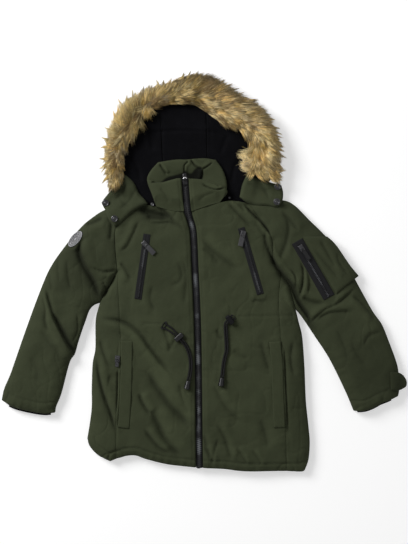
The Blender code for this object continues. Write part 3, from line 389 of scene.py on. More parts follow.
# Creases listed one by one: depth of the trough, its half width, the ridge on its left (or right,
# where negative) as a share of the depth, and the points of its line.
CREASES = [
    # depth, width, ridge, points
    # waist and skirt, wearer's right
    (3.3, 6, -0.8, [(-236, -104), (-191, -111), (-164, -122), (-140, -142), (-118, -173), (-95, -203),
        (-74, -226), (-58, -240)]),
    (4.2, 6, 0.8, [(-240, -190), (-236, -222), (-229, -255), (-221, -283), (-206, -323), (-194, -366)]),
    (3, 3, 0.7, [(-190, -162), (-191, -215), (-192, -270), (-195, -352), (-195, -372)]),
    (3, 3, -0.7, [(182, -162), (184, -210), (186, -262), (190, -350), (190, -374)]),
    (3.2, 6, 0.8, [(-144, -272), (-137, -292), (-128, -308), (-118, -324)]),
    (2.8, 6, 0.8, [(-133, -352), (-116, -376), (-96, -398), (-70, -412)]),
    (2, 6, 0.4, [(-232, -150), (-226, -177), (-215, -202), (-204, -212), (-188, -214)]),
    (3.6, 12, 0.8, [(-128, -218), (-112, -248), (-92, -278), (-70, -307), (-43, -334), (-26, -360)]),
    (3.6, 11, 0.7, [(-118, -308), (-98, -350), (-86, -375), (-68, -398), (-44, -420)]),
    (1.8, 6, 0.5, [(-92, -118), (-82, -145), (-72, -177)]),
    (1.5, 6, -0.5, [(-62, -152), (-70, -166), (-79, -182)]),
    (1.8, 10, 0.4, [(-54, -250), (-44, -289), (-28, -326)]),
    (1.8, 8, -0.4, [(-166, -262), (-172, -300), (-168, -338)]),
    (1.5, 12, 0.3, [(-206, -228), (-214, -262), (-210, -300)]),
    # chest, wearer's right
    (6.5, 9, 0, [(-146, 146), (-126, 134), (-104, 127), (-72, 121)]),
    (3, 8, 0, [(-128, 122), (-108, 122), (-82, 122)]),
    (1.6, 5, 0.6, [(-126, 112), (-100, 108), (-76, 110), (-52, 101), (-38, 84)]),
    (2.4, 5, 0.6, [(-108, 148), (-88, 136), (-68, 116), (-58, 104)]),
    (1.5, 5, 0.9, [(-190, 42), (-173, 54), (-160, 76), (-150, 98), (-142, 118)]),
    (2, 6, -0.4, [(-188, 22), (-173, 3), (-160, -21)]),
    (1.2, 7, 0.3, [(-57, 24), (-47, -4), (-54, -24), (-76, -31)]),
    (1.2, 9, 0.3, [(-44, 30), (-37, -19), (-43, -80)]),
    (1.3, 8, -0.4, [(-112, -30), (-118, -62), (-106, -92)]),
    # chest and skirt, wearer's left
    (1.9, 8.5, 0.9, [(-6, 76), (25, 44), (54, 22), (86, 0)]),
    (1.3, 8, -0.3, [(-3, 54), (22, 36), (38, 14)]),
    (1.5, 7, 0.4, [(30, -128), (38, -146), (48, -152)]),
    (1.4, 8, 0.8, [(22, -250), (42, -290), (62, -318), (94, -346)]),
    (1.8, 6, 0.8, [(30, -340), (48, -372), (58, -402), (66, -430)]),
    (1.3, 4, 0.8, [(76, -396), (90, -416), (100, -436)]),
    (1.3, 4, 0.8, [(110, -402), (124, -420), (132, -438)]),
    (1.4, 4, 0.8, [(2, -392), (16, -414), (24, -434)]),
    (1.3, 5, -0.5, [(36, -372), (26, -404), (20, -436)]),
    (2, 6, 0.4, [(-1, -366), (10, -395), (15, -428)]),
    (1.7, 8, 0.4, [(130, -155), (138, -186), (152, -230)]),
    (1.4, 9, -0.4, [(66, -176), (84, -190), (104, -196)]),
    (1.5, 10, 0.4, [(128, -330), (140, -362), (146, -400)]),
    (1.6, 7, 0.4, [(204, -150), (198, -196), (206, -240)]),
    (1.5, 6, 0.5, [(108, -68), (124, -66), (142, -70)]),
    # shoulder and armhole, wearer's left
    (4.4, 3.2, -0.3, [(92, 154), (101, 141), (118, 124), (133, 109), (146, 92), (156, 76)]),
    (1.2, 5, 0.5, [(116, 116), (132, 89), (146, 68)]),
    (3.4, 4.5, 0.7, [(140, 96), (140, 74), (146, 52), (158, 26), (172, 4)]),
    (5, 5.5, 0.6, [(152, 38), (164, 14), (180, -8), (194, -24), (206, -46)]),
    (2.6, 4, -0.8, [(196, 4), (207, -10), (208, -30), (203, -44)]),
    (2, 5, 0.7, [(54, 157), (74, 135), (90, 119), (112, 98)]),
    (1.4, 4.5, 0.6, [(66, 161), (86, 146), (98, 132)]),
    # right sleeve
    (3.6, 5.5, -0.6, [(-354, -34), (-343, -74), (-333, -104), (-318, -134), (-304, -158)]),
    (6.5, 6.5, -0.5, [(-338, -92), (-322, -124), (-306, -154), (-290, -180), (-276, -200)]),
    (2.5, 8, 0.3, [(-364, -48), (-354, -82), (-354, -112), (-344, -140)]),
    (5.6, 8, 0.5, [(-276, 84), (-279, 60), (-277, 36), (-266, 10), (-250, -15), (-238, -42),
        (-229, -64)]),
    (2.4, 7, -0.4, [(-266, 104), (-246, 110), (-222, 120)]),
    (2.2, 7, 0.4, [(-217, 124), (-206, 106), (-209, 66)]),
    (0.9, 6, 0.5, [(-328, 34), (-326, 8), (-322, -26)]),
    (1, 6, 0.5, [(-306, 30), (-302, -14), (-296, -46)]),
    (0.8, 6, 0.4, [(-346, 0), (-342, -26), (-338, -46)]),
    (1.3, 6, 0.4, [(-282, -92), (-281, -132), (-294, -162)]),
    (1, 11, 0.4, [(-366, -128), (-344, -161), (-326, -181), (-322, -206)]),
    (2.6, 5, -0.5, [(-254, 10), (-223, -1), (-192, 3)]),
    (3.4, 4.5, 0.4, [(-226, -20), (-218, -40), (-226, -58)]),
    (3.4, 4.5, -0.4, [(-196, -4), (-209, -30), (-225, -60)]),
    (0.8, 12, 0.3, [(-390, -190), (-372, -222), (-374, -256)]),
    # left sleeve
    (1.9, 7, 0.6, [(186, 126), (193, 96), (188, 66), (176, 36), (170, 14)]),
    (2.2, 7, 0.4, [(176, 134), (198, 112), (216, 90)]),
    (3.4, 3.6, 0.8, [(206, 54), (220, 28), (226, -6), (222, -40), (210, -66)]),
    (1.6, 3.6, -0.6, [(234, 6), (238, -22), (236, -52)]),
    (6.6, 6, -0.5, [(184, -14), (198, -26), (205, -46), (216, -71), (236, -100), (244, -120)]),
    (2.6, 6, 0.5, [(214, -52), (241, -66), (268, -71), (299, -65)]),
    (2.2, 5, 0.9, [(236, -124), (254, -102), (276, -84), (302, -72), (326, -52), (350, -26)]),
    (2, 5.5, 0.8, [(252, -112), (274, -97), (297, -91), (340, -90)]),
    (1.2, 6.5, 0.5, [(360, -170), (371, -147), (387, -138), (404, -136)]),
    (1.9, 6, -0.7, [(330, -50), (352, -66), (374, -90), (390, -114)]),
    (2, 4, 0.7, [(318, -42), (330, -30), (354, -14)]),
    (0.8, 10, 0.4, [(330, -150), (348, -190), (372, -214)]),
    (0.8, 9, -0.4, [(300, -130), (318, -168), (326, -206)]),
]
FOLD = 2.4                # how much deeper than their rows the creases are pressed
DEEPEST = 11.0 * MM


def crease_lines(rows):
    """Creases in metres, each along a smooth line."""
    return [(depth * MM, width * MM, ridge, through(points, 5 * len(points)))
            for depth, width, ridge, points in rows]


CREASE_LINES = crease_lines(CREASES)


def creased(x, y, rows=CREASE_LINES):
    """Troughs and ridges: a narrow trough along each line, with a broad swell on one side of it.

    With a for the distance across over the width, and s for the same towards the swell, the height
    is depth * (0.95 * ridge * exp(-((s - 1.9) / 1.6)^2) - exp(-|a / 0.62|^1.25)), fading at the
    line's ends and levelling off smoothly at the deepest fold.
    """
    total = np.zeros_like(x)
    for depth, width, ridge, line in rows:
        near = close_by(line, x, y, 6 * width)
        if near.any():
            across, passed = nearest(line, x[near], y[near])
            across = across / width
            fade = smooth(off_ends(passed, 0.22))
            side = np.sign(ridge) * across
            trough = np.exp(-np.abs(across / 0.62) ** 1.25)
            crest = abs(ridge) * np.exp(-((side - 1.9) / 1.6) ** 2)
            total[near] += FOLD * depth * fade * (0.95 * crest - trough)
    return np.where(total < 0, DEEPEST * np.tanh(total / DEEPEST), 5 * MM * np.tanh(total / (5 * MM)))


# Seams that show: the line, how far the cloth dips at it, how far the dip reaches, and the puckers.
SEAM_ROWS = [
    # line, dip, reach, pucker
    ("princess_right", 1.6, 3.5, 0.6), ("princess_left", 1.6, 3.5, 0.6), ("armhole_right", 0.8, 4, 1.1),
    ("armhole_left", 1, 4, 1.1), ("underarm_right", 2.5, 7, 0.8), ("underarm_left", 2.5, 7, 0.8),
    ("neck_right", 0.5, 3, 0.9), ("neck_left", 0.5, 3, 0.9), ("hem_right", 0, 9, 1.4),
    ("hem_left", 0, 9, 1.8), ("side_right", 0, 10, 0.8), ("side_left", 0, 10, 0.8), ("cuff_right", 0, 8, 2),
    ("cuff_left", 0, 8, 1.4), ("sleeve_right_outer", 0, 10, 0.6), ("sleeve_left_outer", 0, 10, 0.6),
    ("sleeve_right_inner", 0, 12, 1.2), ("sleeve_left_inner", 0, 12, 1.2),
]
# Sewn channels: a line, the distance to its left, the depth and the half width of the channel.
CHANNEL_ROWS = [
    ("hem_right", 18, 2.2, 2.6), ("hem_left", 18, 2.2, 2.6), ("hem_side_right", 19, 1.8, 2.6),
    ("hem_side_left", 19, 1.8, 2.6), ("corner_right", 19, 1.8, 2.6), ("zip_right", -6.5, 0.9, 1.6),
    ("zip_left", 6.5, 0.9, 1.6), ("cuff_right", 24, 1.4, 2.4), ("cuff_left", 24, 1.4, 2.4),
    ("waist_right", 0, 1.3, 2.6), ("waist_left", 0, 1.3, 2.6),
]
LINE["waist_right"] = through([(-136, -117), (-110, -117.5), (-90, -118)], 12)
LINE["waist_left"] = through([(78, -101), (120, -100.5), (168, -99.5), (204, -99)], 12)
FIRM_SPOTS = [  # hard pieces that lie on the coat: x, y and radius of the cloth kept level under them
    (-127.6, 56, 20), (-122, 50, 14), (89, 78, 20), (87.5, 66, 12),
    (222.5, 50, 20), (231, 38, 14), (-192, -202, 16), (-192.3, -212, 12),
]


def seams(x, y):
    """Dips beside seams, with puckers that run across them, and sewn channels."""
    total = np.zeros_like(x)
    for seed, (name, dip, reach, pucker) in enumerate(SEAM_ROWS):
        across, passed = nearest(LINE[name], x, y)
        gap = np.abs(across)
        length = lengths_of(LINE[name]).sum()
        wave = lumps(passed * length, gap * 0.25, 9 * MM, seed + 50)
        total -= dip * MM * np.exp(-gap / (reach * MM))
        total += pucker * MM * wave * np.exp(-gap / (2.2 * reach * MM)) * held(gap / (4 * MM))
    for name, distance, depth, width in CHANNEL_ROWS:
        across, passed = nearest(LINE[name], x, y)
        inside = off_ends(passed, 0.02) if "waist" in name else 1.0
        total -= depth * MM * inside * np.exp(-((np.abs(across) - abs(distance) * MM)
                                                / (width * MM)) ** 2)
    return total


FIRM_LINES = [  # zips, welts, cords and turned-out flaps: radius, and the line they lie along
    (13, [(-125.5, 84), (-146, -62)]), (13, [(85.5, 98), (129, -51)]),
    (18, [(211, 68), (283, -58)]),
    (15, [(-173, -160), (-173, -260), (-178, -345)]), (15, [(161, -160), (168, -260), (172, -345)]),
    (7, [(-87, -121), (-60, -141), (-37, -168), (-28, -208), (-35, -268)]),
    (7, [(67, -103), (52, -118), (52, -177), (46, -207), (39, -262)]),
    (22, [(-222, 152), (-186, 124)]), (24, [(100, 176), (170, 166)]),
    (30, [(262, 70), (318, -20)]), (14, [(436, -236), (436, -258)]), (16, [(-295, 60), (-278, 90)]),
]


def firmness(x, y):
    """1 over free cloth, falling to 0 under the pieces that lie on it."""
    free = np.ones_like(x)
    for cx, cy, radius in FIRM_SPOTS:
        away = np.hypot(x - cx * MM, y - cy * MM) / (radius * MM)
        free = np.minimum(free, held(away - 0.6))
    for radius, points in FIRM_LINES:
        away = np.abs(nearest(through(points, 8), x, y)[0]) / (radius * MM)
        free = np.minimum(free, held(2.5 * (away - 0.7)))
    return smooth(free)


COAT_ROLLS = [(LINE[name], low * MM, reach * MM) for name, low, reach in ROLL_ROWS]
PUFF = 2.2 * MM           # unevenness of the padding
COAT_LEAST = 14.0 * MM    # lowest that a fold may reach


def wrinkles(x, y):
    """Fine random wrinkles: narrow troughs along the middle levels of two warped lump surfaces."""
    bend = 14 * MM * lumps(x, y, 48 * MM, 61)
    one = lumps(x + bend, (y - bend) * 0.55, 26 * MM, 62)
    two = lumps((x - bend) * 0.6, y + bend, 30 * MM, 63)
    patch = held(lumps(x, y, 70 * MM, 64) + 0.35)
    other = held(lumps(x, y, 70 * MM, 65) + 0.35)
    return 1.3 * MM * (patch * np.exp(-np.abs(one) / 0.10) + other * np.exp(-np.abs(two) / 0.10))


def coat(x, y):
    """Top of the fronts and upper sleeves: rolls, then creases, seams and uneven padding."""
    base = rolled(x, y, FULL, COAT_ROLLS)
    uneven = PUFF * (lumps(x, y, 55 * MM, 1) + 0.55 * lumps(x, y, 24 * MM, 2)) \
        + 0.25 * MM * lumps(x, y, 9 * MM, 3) - 0.4 * MM - wrinkles(x, y)
    height = base + firmness(x, y) * (creased(x, y) + seams(x, y) + uneven)
    return np.maximum(height, COAT_LEAST)


# ---- meshes

def placed(name, data):
    """New object in the scene."""
    obj = bpy.data.objects.new(name, data)
    bpy.context.scene.collection.objects.link(obj)
    return obj


def piece(name, points, faces, look, plan_uv=None, body="root", replaces=(), smooth=True):
    """Mesh object from an array of points and arrays of faces, each array of one face size."""
    mesh = bpy.data.meshes.new(name)
    points = np.asarray(points, dtype=np.float32)
    sizes = np.concatenate([np.full(len(block), block.shape[1]) for block in faces])
    corners = np.concatenate([block.ravel() for block in faces]).astype(np.int32)
    mesh.vertices.add(len(points))
    mesh.vertices.foreach_set("co", points.ravel())
    mesh.loops.add(len(corners))
    mesh.loops.foreach_set("vertex_index", corners)
    mesh.polygons.add(len(sizes))
    starts = np.concatenate([[0], np.cumsum(sizes)[:-1]]).astype(np.int32)
    mesh.polygons.foreach_set("loop_start", starts)
    mesh.update(calc_edges=True)
    mesh.polygons.foreach_set("use_smooth", np.full(len(sizes), smooth))
    if plan_uv is not None:
        layer = mesh.uv_layers.new(name="grain")
        layer.data.foreach_set("uv", np.asarray(plan_uv, dtype=np.float32)[corners].ravel())
    obj = placed(name, mesh)
    mesh.materials.append(look)
    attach(obj, body)
    if replaces:
        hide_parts(*replaces)
    return obj


def xy(grid):
    """The two coordinates in plan of a grid's points."""
    return grid[..., 0], grid[..., 1]


def cells(rows, columns):
    """Quads of a grid of points, numbered row by row."""
    a = (np.arange(rows - 1)[:, None] * columns + np.arange(columns - 1)).reshape(-1, 1)
    return np.concatenate([a, a + 1, a + columns + 1, a + columns], axis=1)


def rim(rows, columns):
    """Point numbers round the border of a grid."""
    top = np.arange(columns - 1)
    right = np.arange(rows - 1) * columns + columns - 1
    bottom = (rows - 1) * columns + np.arange(columns - 1, 0, -1)
    left = np.arange(rows - 1, 0, -1) * columns
    return np.concatenate([top, right, bottom, left])


def swept(rings, sides):
    """Quads between rings of points numbered ring by ring, and the two end caps."""
    a = np.arange(rings - 1)[:, None] * sides + np.arange(sides)
    b = np.arange(rings - 1)[:, None] * sides + np.roll(np.arange(sides), -1)
    quads = np.stack([a, b, b + sides, a + sides], axis=-1).reshape(-1, 4)
    return quads, np.stack([np.arange(sides)[::-1], (rings - 1) * sides + np.arange(sides)])


def turned_up(grid):
    """True where a grid's rows and columns turn anticlockwise seen from above."""
    across = grid[0, -1] - grid[0, 0]
    down = grid[-1, 0] - grid[0, 0]
    return across[0] * down[1] - across[1] * down[0] > 0


def inset(grid, distance):
    """Grid with its border drawn in by a distance, so that neighbours leave a gap."""
    moved = grid.copy()
    turn = 1.0 if turned_up(grid) else -1.0
    for where, side in (((slice(None), 0), -1), ((slice(None), -1), 1), ((0, slice(None)), 1),
                        ((-1, slice(None)), -1)):
        line = grid[where]
        moved[where] = moved[where] + beside(line, side * turn * distance) - line
    return moved


def tint(obj, colours):
    """Colour kept at each point of a piece."""
    layer = obj.data.color_attributes.new("shade", "FLOAT_COLOR", "POINT")
    layer.data.foreach_set("color", colours.astype(np.float32).ravel())


def paint(obj, value):
    """Painted shade and highlight: a grey value at each point of a piece, from a function of its plan."""
    points = np.empty(len(obj.data.vertices) * 3, dtype=np.float32)
    obj.data.vertices.foreach_get("co", points)
    points = points.reshape(-1, 3)
    grey = np.clip(value(points[:, 0], points[:, 1]), 0.0, 1.4)
    tint(obj, np.column_stack([grey, grey, grey, np.ones(len(grey))]))


# Painted broad shade and light: how much darker (or, where negative, paler) the cloth is painted, half
# width, and its line.
SHADE_ROWS = [
    (0.46, 12, [(-150, 148), (-128, 137), (-106, 130), (-78, 123), (-64, 117)]),
    (0.30, 9, [(-140, 118), (-120, 124), (-96, 128)]),
    (0.36, 14, [(-284, 56), (-276, 36), (-262, 6), (-246, -28), (-230, -66)]),
    (0.14, 12, [(-214, -8), (-222, -30), (-226, -60)]),
    (-0.16, 14, [(-288, -196), (-306, -240), (-330, -312)]),
    (0.26, 26, [(404, -225), (436, -250), (442, -290)]),
    (0.30, 14, [(-322, -124), (-302, -160), (-280, -196)]),
    (0.30, 10, [(150, 80), (146, 50), (160, 20), (186, -14), (204, -34)]),
    (0.42, 11, [(184, -18), (202, -38), (212, -76), (240, -118), (252, -140)]),
    (0.22, 60, [(-310, 60), (-290, 10), (-282, -50)]), (0.10, 40, [(-200, 90), (-230, 60)]),
    (-0.12, 46, [(-150, -80), (-110, -170), (-70, -280), (-60, -380)]),
    (-0.22, 24, [(-30, 160), (0, 168), (34, 176)]), (0.10, 50, [(-120, 80), (-104, -40)]),
    (0.08, 40, [(-160, 200), (-200, 140)]), (-0.06, 50, [(60, -60), (70, -190), (100, -330)]),
    (0.10, 26, [(212, -120), (222, -260), (220, -410)]), (0.24, 55, [(360, -150), (400, -290)]),
    (0.10, 60, [(180, 130), (240, 90), (300, 10)]),
]
SHADE_LINES = [(much, width * MM, through(rows, 4 * len(rows))) for much, width, rows in SHADE_ROWS]


def fold_shade(lines, free=None, painted_dimming=1.0):
    """Painted shade and highlight of a cloth: paler on ridges, darker in troughs and under the painted
    broad shade, then scaled by a factor of painted shade.
    """
    def shade(x, y):
        fold = creased(x, y, lines) / MM * (free(x, y) if free else 1.0)
        grey = 1.0 + 0.045 * np.clip(fold, 0, 4) + 0.075 * np.clip(fold, -7, 0)
        for much, width, line in SHADE_LINES:
            near = close_by(line, x, y, 2.5 * width)
            if near.any():
                gap, passed = nearest(line, x[near], y[near])
                fade = off_ends(passed, 0.15)
                grey[near] *= 1 - much * (0.25 + 0.75 * fade) * np.exp(-(gap / width) ** 2)
        return painted_dimming * np.clip(grey, 0.35, 1.3)
    return shade


RESTS_ON = {  # what each cloth lies on
    "sleeve_right_upper": "sleeve_right_under", "sleeve_left_upper": "sleeve_left_under",
    "collar_back": "hood_lining_centre", "hood_flap_right": "front_right sleeve_right_upper",
    "hood_flap_left": "front_left sleeve_left_upper", "sleeve_pocket": "sleeve_left_upper",
    "cuff_tab_left": "sleeve_left_upper", "pocket_welt_right": "front_right",
    "pocket_welt_left": "front_left",
    **dict.fromkeys(("front_right", "front_left", "side_front_right", "side_front_left"), "back_panel"),
    **dict.fromkeys(("hood_lining_right", "hood_lining_centre", "hood_lining_left"), "hood_shell"),
    **dict.fromkeys(("collar_front_right", "collar_front_left"), "collar_back"),
}


def slab(node_name, grid, top, bottom, look, grain=0.0, cut=None, shade=None):
    """Closed piece of cloth in place of a node: an upper and a lower sheet over one plan.

    top and bottom are arrays of heights; a bottom that is one number makes one level face.
    """
    grid = inset(grid, GAP / 2)
    rows, columns = grid.shape[:2]
    flat = grid.reshape(-1, 2)
    border = rim(rows, columns)
    upper = np.column_stack([flat, np.broadcast_to(top, (rows, columns)).reshape(-1)])
    quads = cells(rows, columns)
    if np.ndim(bottom):
        lower = np.column_stack([flat, bottom.reshape(-1)])
        lower_border = border + len(upper)
        under = quads[:, ::-1] + len(upper)
    else:
        lower = np.column_stack([flat[border], np.full(len(border), bottom)])
        lower_border = np.arange(len(border)) + len(upper)
        under = lower_border[::-1][None]
    ahead, ahead_low = np.roll(border, -1), np.roll(lower_border, -1)
    wall = np.column_stack([ahead, border, lower_border, ahead_low])
    faces = [quads, under, wall]
    if not turned_up(grid):
        faces = [block[:, ::-1] for block in faces]
    points = np.vstack([upper, lower])
    turn = np.array([[math.cos(grain), -math.sin(grain)], [math.sin(grain), math.cos(grain)]])
    obj = piece(f"{node_name}_cloth", points, faces, look, points[:, :2] @ turn,
                replaces=(node_name,))
    # cloth carries painted shade and highlight from its folds; otherwise a plain grey of 1
    if look is CLOTH:
        paint(obj, shade or (lambda x, y: np.ones_like(x)))
    if cut:
        under = [f"{name}_cloth" for name in RESTS_ON.get(node_name, "").split()]
    return obj


def under_side(x, y, edges, top, reach=7 * MM):
    """Lower and upper heights of a padded under layer that rounds off at its free edges."""
    gap = np.full(x.shape, 1.0)
    for name in edges:
        gap = np.minimum(gap, np.abs(nearest(LINE[name], x, y)[0]))
    round_off = rounding(gap, reach)
    return round_off * 0.42 * top, top - round_off * 0.36 * top


# ---- finishes

def node(tree, kind, links=None, **settings):
    """Node of a kind, with its settings, and its inputs set to values or linked to sockets."""
    made = tree.nodes.new(kind)
    for key, value in settings.items():
        setattr(made, key, value)
    for key, value in (links or {}).items():
        if isinstance(value, bpy.types.NodeSocket):
            tree.links.new(value, made.inputs[key])
        else:
            made.inputs[key].default_value = value
    return made


def finish(name, colour, roughness, metallic=0.0, **sockets):
    """Principled material; returns it, its node tree and its shader."""
    made = bpy.data.materials.new(name)
    made.use_nodes = True
    shader = made.node_tree.nodes["Principled BSDF"]
    values = {"Base Color": (*colour, 1.0), "Roughness": roughness, "Metallic": metallic, **sockets}
    for key, value in values.items():
        shader.inputs[key].default_value = value
    return made, made.node_tree, shader


def coordinates(tree, layer=None):
    """Object coordinates, or a piece's own UV layer in metres."""
    if layer:
        return node(tree, "ShaderNodeUVMap", uv_map=layer).outputs["UV"]
    return node(tree, "ShaderNodeTexCoord").outputs["Object"]


def noise(tree, place, scale, detail=2.0, roughness=0.5):
    """Noise value at a place."""
    return node(tree, "ShaderNodeTexNoise", {"Vector": place, "Scale": scale, "Detail": detail,
                                             "Roughness": roughness}).outputs["Fac"]


def bands(tree, place, period, direction, distortion=0.0):
    """Bands across X or Y, with a period in metres."""
    return node(tree, "ShaderNodeTexWave",
                {"Vector": place, "Scale": math.pi / (10.0 * period), "Distortion": distortion,
                 "Detail": 1.0},
                wave_type="BANDS", bands_direction=direction).outputs["Fac"]


def maths(tree, operation, one, other):
    """Two values put together."""
    made = node(tree, "ShaderNodeMath", operation=operation)
    for socket, value in zip(made.inputs, (one, other)):
        if isinstance(value, bpy.types.NodeSocket):
            tree.links.new(value, socket)
        else:
            socket.default_value = value
    return made.outputs[0]


def blend(tree, one, share, other):
    """Two values mixed, with the first one's share."""
    return maths(tree, "ADD", maths(tree, "MULTIPLY", one, share),
                 maths(tree, "MULTIPLY", other, 1 - share))


def mapped(tree, place, **change):
    """Place, stretched or turned."""
    return node(tree, "ShaderNodeMapping", {"Vector": place, **change}).outputs[0]


def ramp(tree, value, stops):
    """Colour ramp with stops of place and colour."""
    made = node(tree, "ShaderNodeValToRGB", {"Fac": value})
    elements = made.color_ramp.elements
    while len(elements) < len(stops):
        elements.new(0.5)
    for element, (place, colour) in zip(elements, stops):
        element.position = place
        element.color = (*colour, 1.0)
    return made.outputs["Color"]


def shades(colour, *factors):
    """A colour made darker or lighter by factors, spread evenly over a ramp."""
    places = np.linspace(0.25, 0.75, len(factors))
    return [(float(p), tuple(c * f for c in colour)) for p, f in zip(places, factors)]


def dyed(tree, shader, value, stops):
    """Base colour from a ramp."""
    tree.links.new(ramp(tree, value, stops), shader.inputs["Base Color"])


def kept_colour(tree):
    """Colour kept at the points of a piece."""
    return node(tree, "ShaderNodeVertexColor", layer_name="shade").outputs["Color"]


def roughened(tree, shader, value, low, high):
    """Roughness between two levels, from a noise value."""
    rough = node(tree, "ShaderNodeMapRange", {"Value": value, "From Min": 0.3, "From Max": 0.7,
                                              "To Min": low, "To Max": high})
    tree.links.new(rough.outputs["Result"], shader.inputs["Roughness"])


def relief(tree, shader, *layers):
    """Bump layers, each a height socket and its depth in metres, one over the other."""
    below = None
    for height, depth in layers:
        links = {"Height": height, "Strength": 1.0, "Distance": depth}
        if below is not None:
            links["Normal"] = below
        below = node(tree, "ShaderNodeBump", links).outputs["Normal"]
    tree.links.new(below, shader.inputs["Normal"])


OLIVE = (0.0380, 0.0452, 0.0232)


def olive_cloth(name="olive_canvas"):
    """Close-woven cotton canvas with a peach nap: fine weave, slubs, and slightly uneven colouring.

    It is darkened and lightened by painted shade and highlight: a grey value kept at its points.
    """
    made, tree, shader = finish(name, OLIVE, 0.82, **{
        "Specular IOR Level": 0.10, "Sheen Weight": 0.03, "Sheen Roughness": 0.5,
        "Sheen Tint": (0.75, 0.8, 0.65, 1.0)})
    place = coordinates(tree, "grain")
    body = coordinates(tree)
    warp = bands(tree, place, 0.62 * MM, "X", 0.4)
    weft = bands(tree, place, 0.62 * MM, "Y", 0.4)
    weave = maths(tree, "MULTIPLY", warp, weft)
    slub = noise(tree, mapped(tree, place, Scale=(1.0, 0.12, 1.0)), 900.0, 2.0)
    fade = blend(tree, noise(tree, body, 14.0, 4.0, 0.6), 0.75, slub)
    both = node(tree, "ShaderNodeVectorMath", operation="MULTIPLY")
    tree.links.new(ramp(tree, fade, shades(OLIVE, 0.86, 1.0, 1.12)), both.inputs[0])
    tree.links.new(kept_colour(tree), both.inputs[1])
    tree.links.new(both.outputs[0], shader.inputs["Base Color"])
    relief(tree, shader, (noise(tree, body, 60.0, 3.0, 0.6), 0.55 * MM), (weave, 0.08 * MM),
           (slub, 0.06 * MM))
    return made


def fleece(name="black_fleece_pile", colour=(0.0034, 0.0034, 0.0042)):
    """Short black fleece: rough, with a soft pile."""
    made, tree, shader = finish(name, colour, 0.95, **{
        "Specular IOR Level": 0.03, "Sheen Weight": 0.01, "Sheen Roughness": 0.6})
    body = coordinates(tree)
    pile = noise(tree, body, 420.0, 4.0, 0.7)
    patches = noise(tree, body, 30.0, 3.0)
    dyed(tree, shader, blend(tree, pile, 0.5, patches), shades(colour, 0.6, 1.0, 1.7))
    relief(tree, shader, (pile, 0.35 * MM), (patches, 0.5 * MM))
    return made


def tape(name="zip_tape", colour=(0.0052, 0.0053, 0.0060)):
    """Woven zip tape: fine ribs along it and a cross weave."""
    made, tree, shader = finish(name, colour, 0.72, **{"Specular IOR Level": 0.15})
    place = coordinates(tree, "grain")
    ribs = bands(tree, place, 1.1 * MM, "X")
    weft = bands(tree, place, 0.5 * MM, "Y")
    both = blend(tree, ribs, 0.7, weft)
    dyed(tree, shader, both, shades(colour, 0.7, 1.0, 1.3))
    relief(tree, shader, (both, 0.12 * MM))
    return made


def moulded(name, colour, roughness, grain_depth=0.03, mottle=0.25, gloss=0.28):
    """Moulded plastic or rubber with a fine grain and small changes of tone and gloss."""
    made, tree, shader = finish(name, colour, roughness, **{"Specular IOR Level": gloss})
    body = coordinates(tree)
    grain = noise(tree, body, 1400.0, 2.0)
    tone = noise(tree, body, 160.0, 3.0)
    dyed(tree, shader, tone, shades(colour, 1 - mottle, 1.0, 1 + mottle))
    roughened(tree, shader, tone, roughness - 0.08, roughness + 0.1)
    relief(tree, shader, (grain, grain_depth * MM))
    return made


def glinting(name, colour, pale):
    """Shiny teeth: dark, with stretches painted pale as glints."""
    made, tree, shader = finish(name, colour, 0.26, **{"Specular IOR Level": 0.45})
    body = coordinates(tree)
    stretch = noise(tree, mapped(tree, body, Scale=(0.35, 1.0, 0.1)), 17.0, 2.0, 0.6)
    both = blend(tree, stretch, 0.85, noise(tree, body, 700.0, 2.0))
    dyed(tree, shader, both, [(0.0, colour), (0.49, colour), (0.57, pale), (1.0, pale)])
    return made


def metal(name="gunmetal_worn", colour=(0.040, 0.040, 0.042), roughness=0.30):
    """Plated metal, brushed by use: fine scratches, with paler wear in patches."""
    made, tree, shader = finish(name, colour, roughness, 1.0)
    body = coordinates(tree)
    scratches = noise(tree, mapped(tree, body, Scale=(1.0, 0.15, 1.0)), 1800.0, 3.0)
    dyed(tree, shader, noise(tree, body, 240.0, 4.0, 0.65), shades(colour, 0.65, 1.0, 1.9))
    roughened(tree, shader, scratches, roughness - 0.08, roughness + 0.14)
    relief(tree, shader, (scratches, 0.02 * MM))
    return made


def braid():
    """Round braided cord: two sets of slanting strands, from the piece's own UV."""
    colour = (0.0042, 0.0041, 0.0042)
    made, tree, shader = finish("black_braid", colour, 0.62, **{"Specular IOR Level": 0.12})
    place = coordinates(tree, "grain")
    slant = [bands(tree, mapped(tree, place, Rotation=(0.0, 0.0, turn)), 1.3 * MM, "X")
             for turn in (0.62, -0.62)]
    both = maths(tree, "MAXIMUM", *slant)
    dyed(tree, shader, both, shades(colour, 0.5, 1.0, 2.2))
    relief(tree, shader, (both, 0.35 * MM))
    return made


def fur_hair():
    """Hair whose colour is kept on each strand, from root to tip."""
    made, tree, shader = finish("fur_hair", (0.3, 0.22, 0.11), 0.55, **{
        "Specular IOR Level": 0.3, "Sheen Weight": 0.35, "Sheen Roughness": 0.5,
        "Sheen Tint": (0.90, 0.74, 0.42, 1.0)})
    tree.links.new(kept_colour(tree), shader.inputs["Base Color"])
    return made


def badge_rubber():
    """Moulded rubber badge: dark ground with pale raised rings, from the piece's own attribute."""
    made, tree, shader = finish("badge_rubber_two_tone", (0.2, 0.2, 0.2), 0.5)
    tree.links.new(kept_colour(tree), shader.inputs["Base Color"])
    relief(tree, shader, (noise(tree, coordinates(tree), 1200.0), 0.03 * MM))
    return made


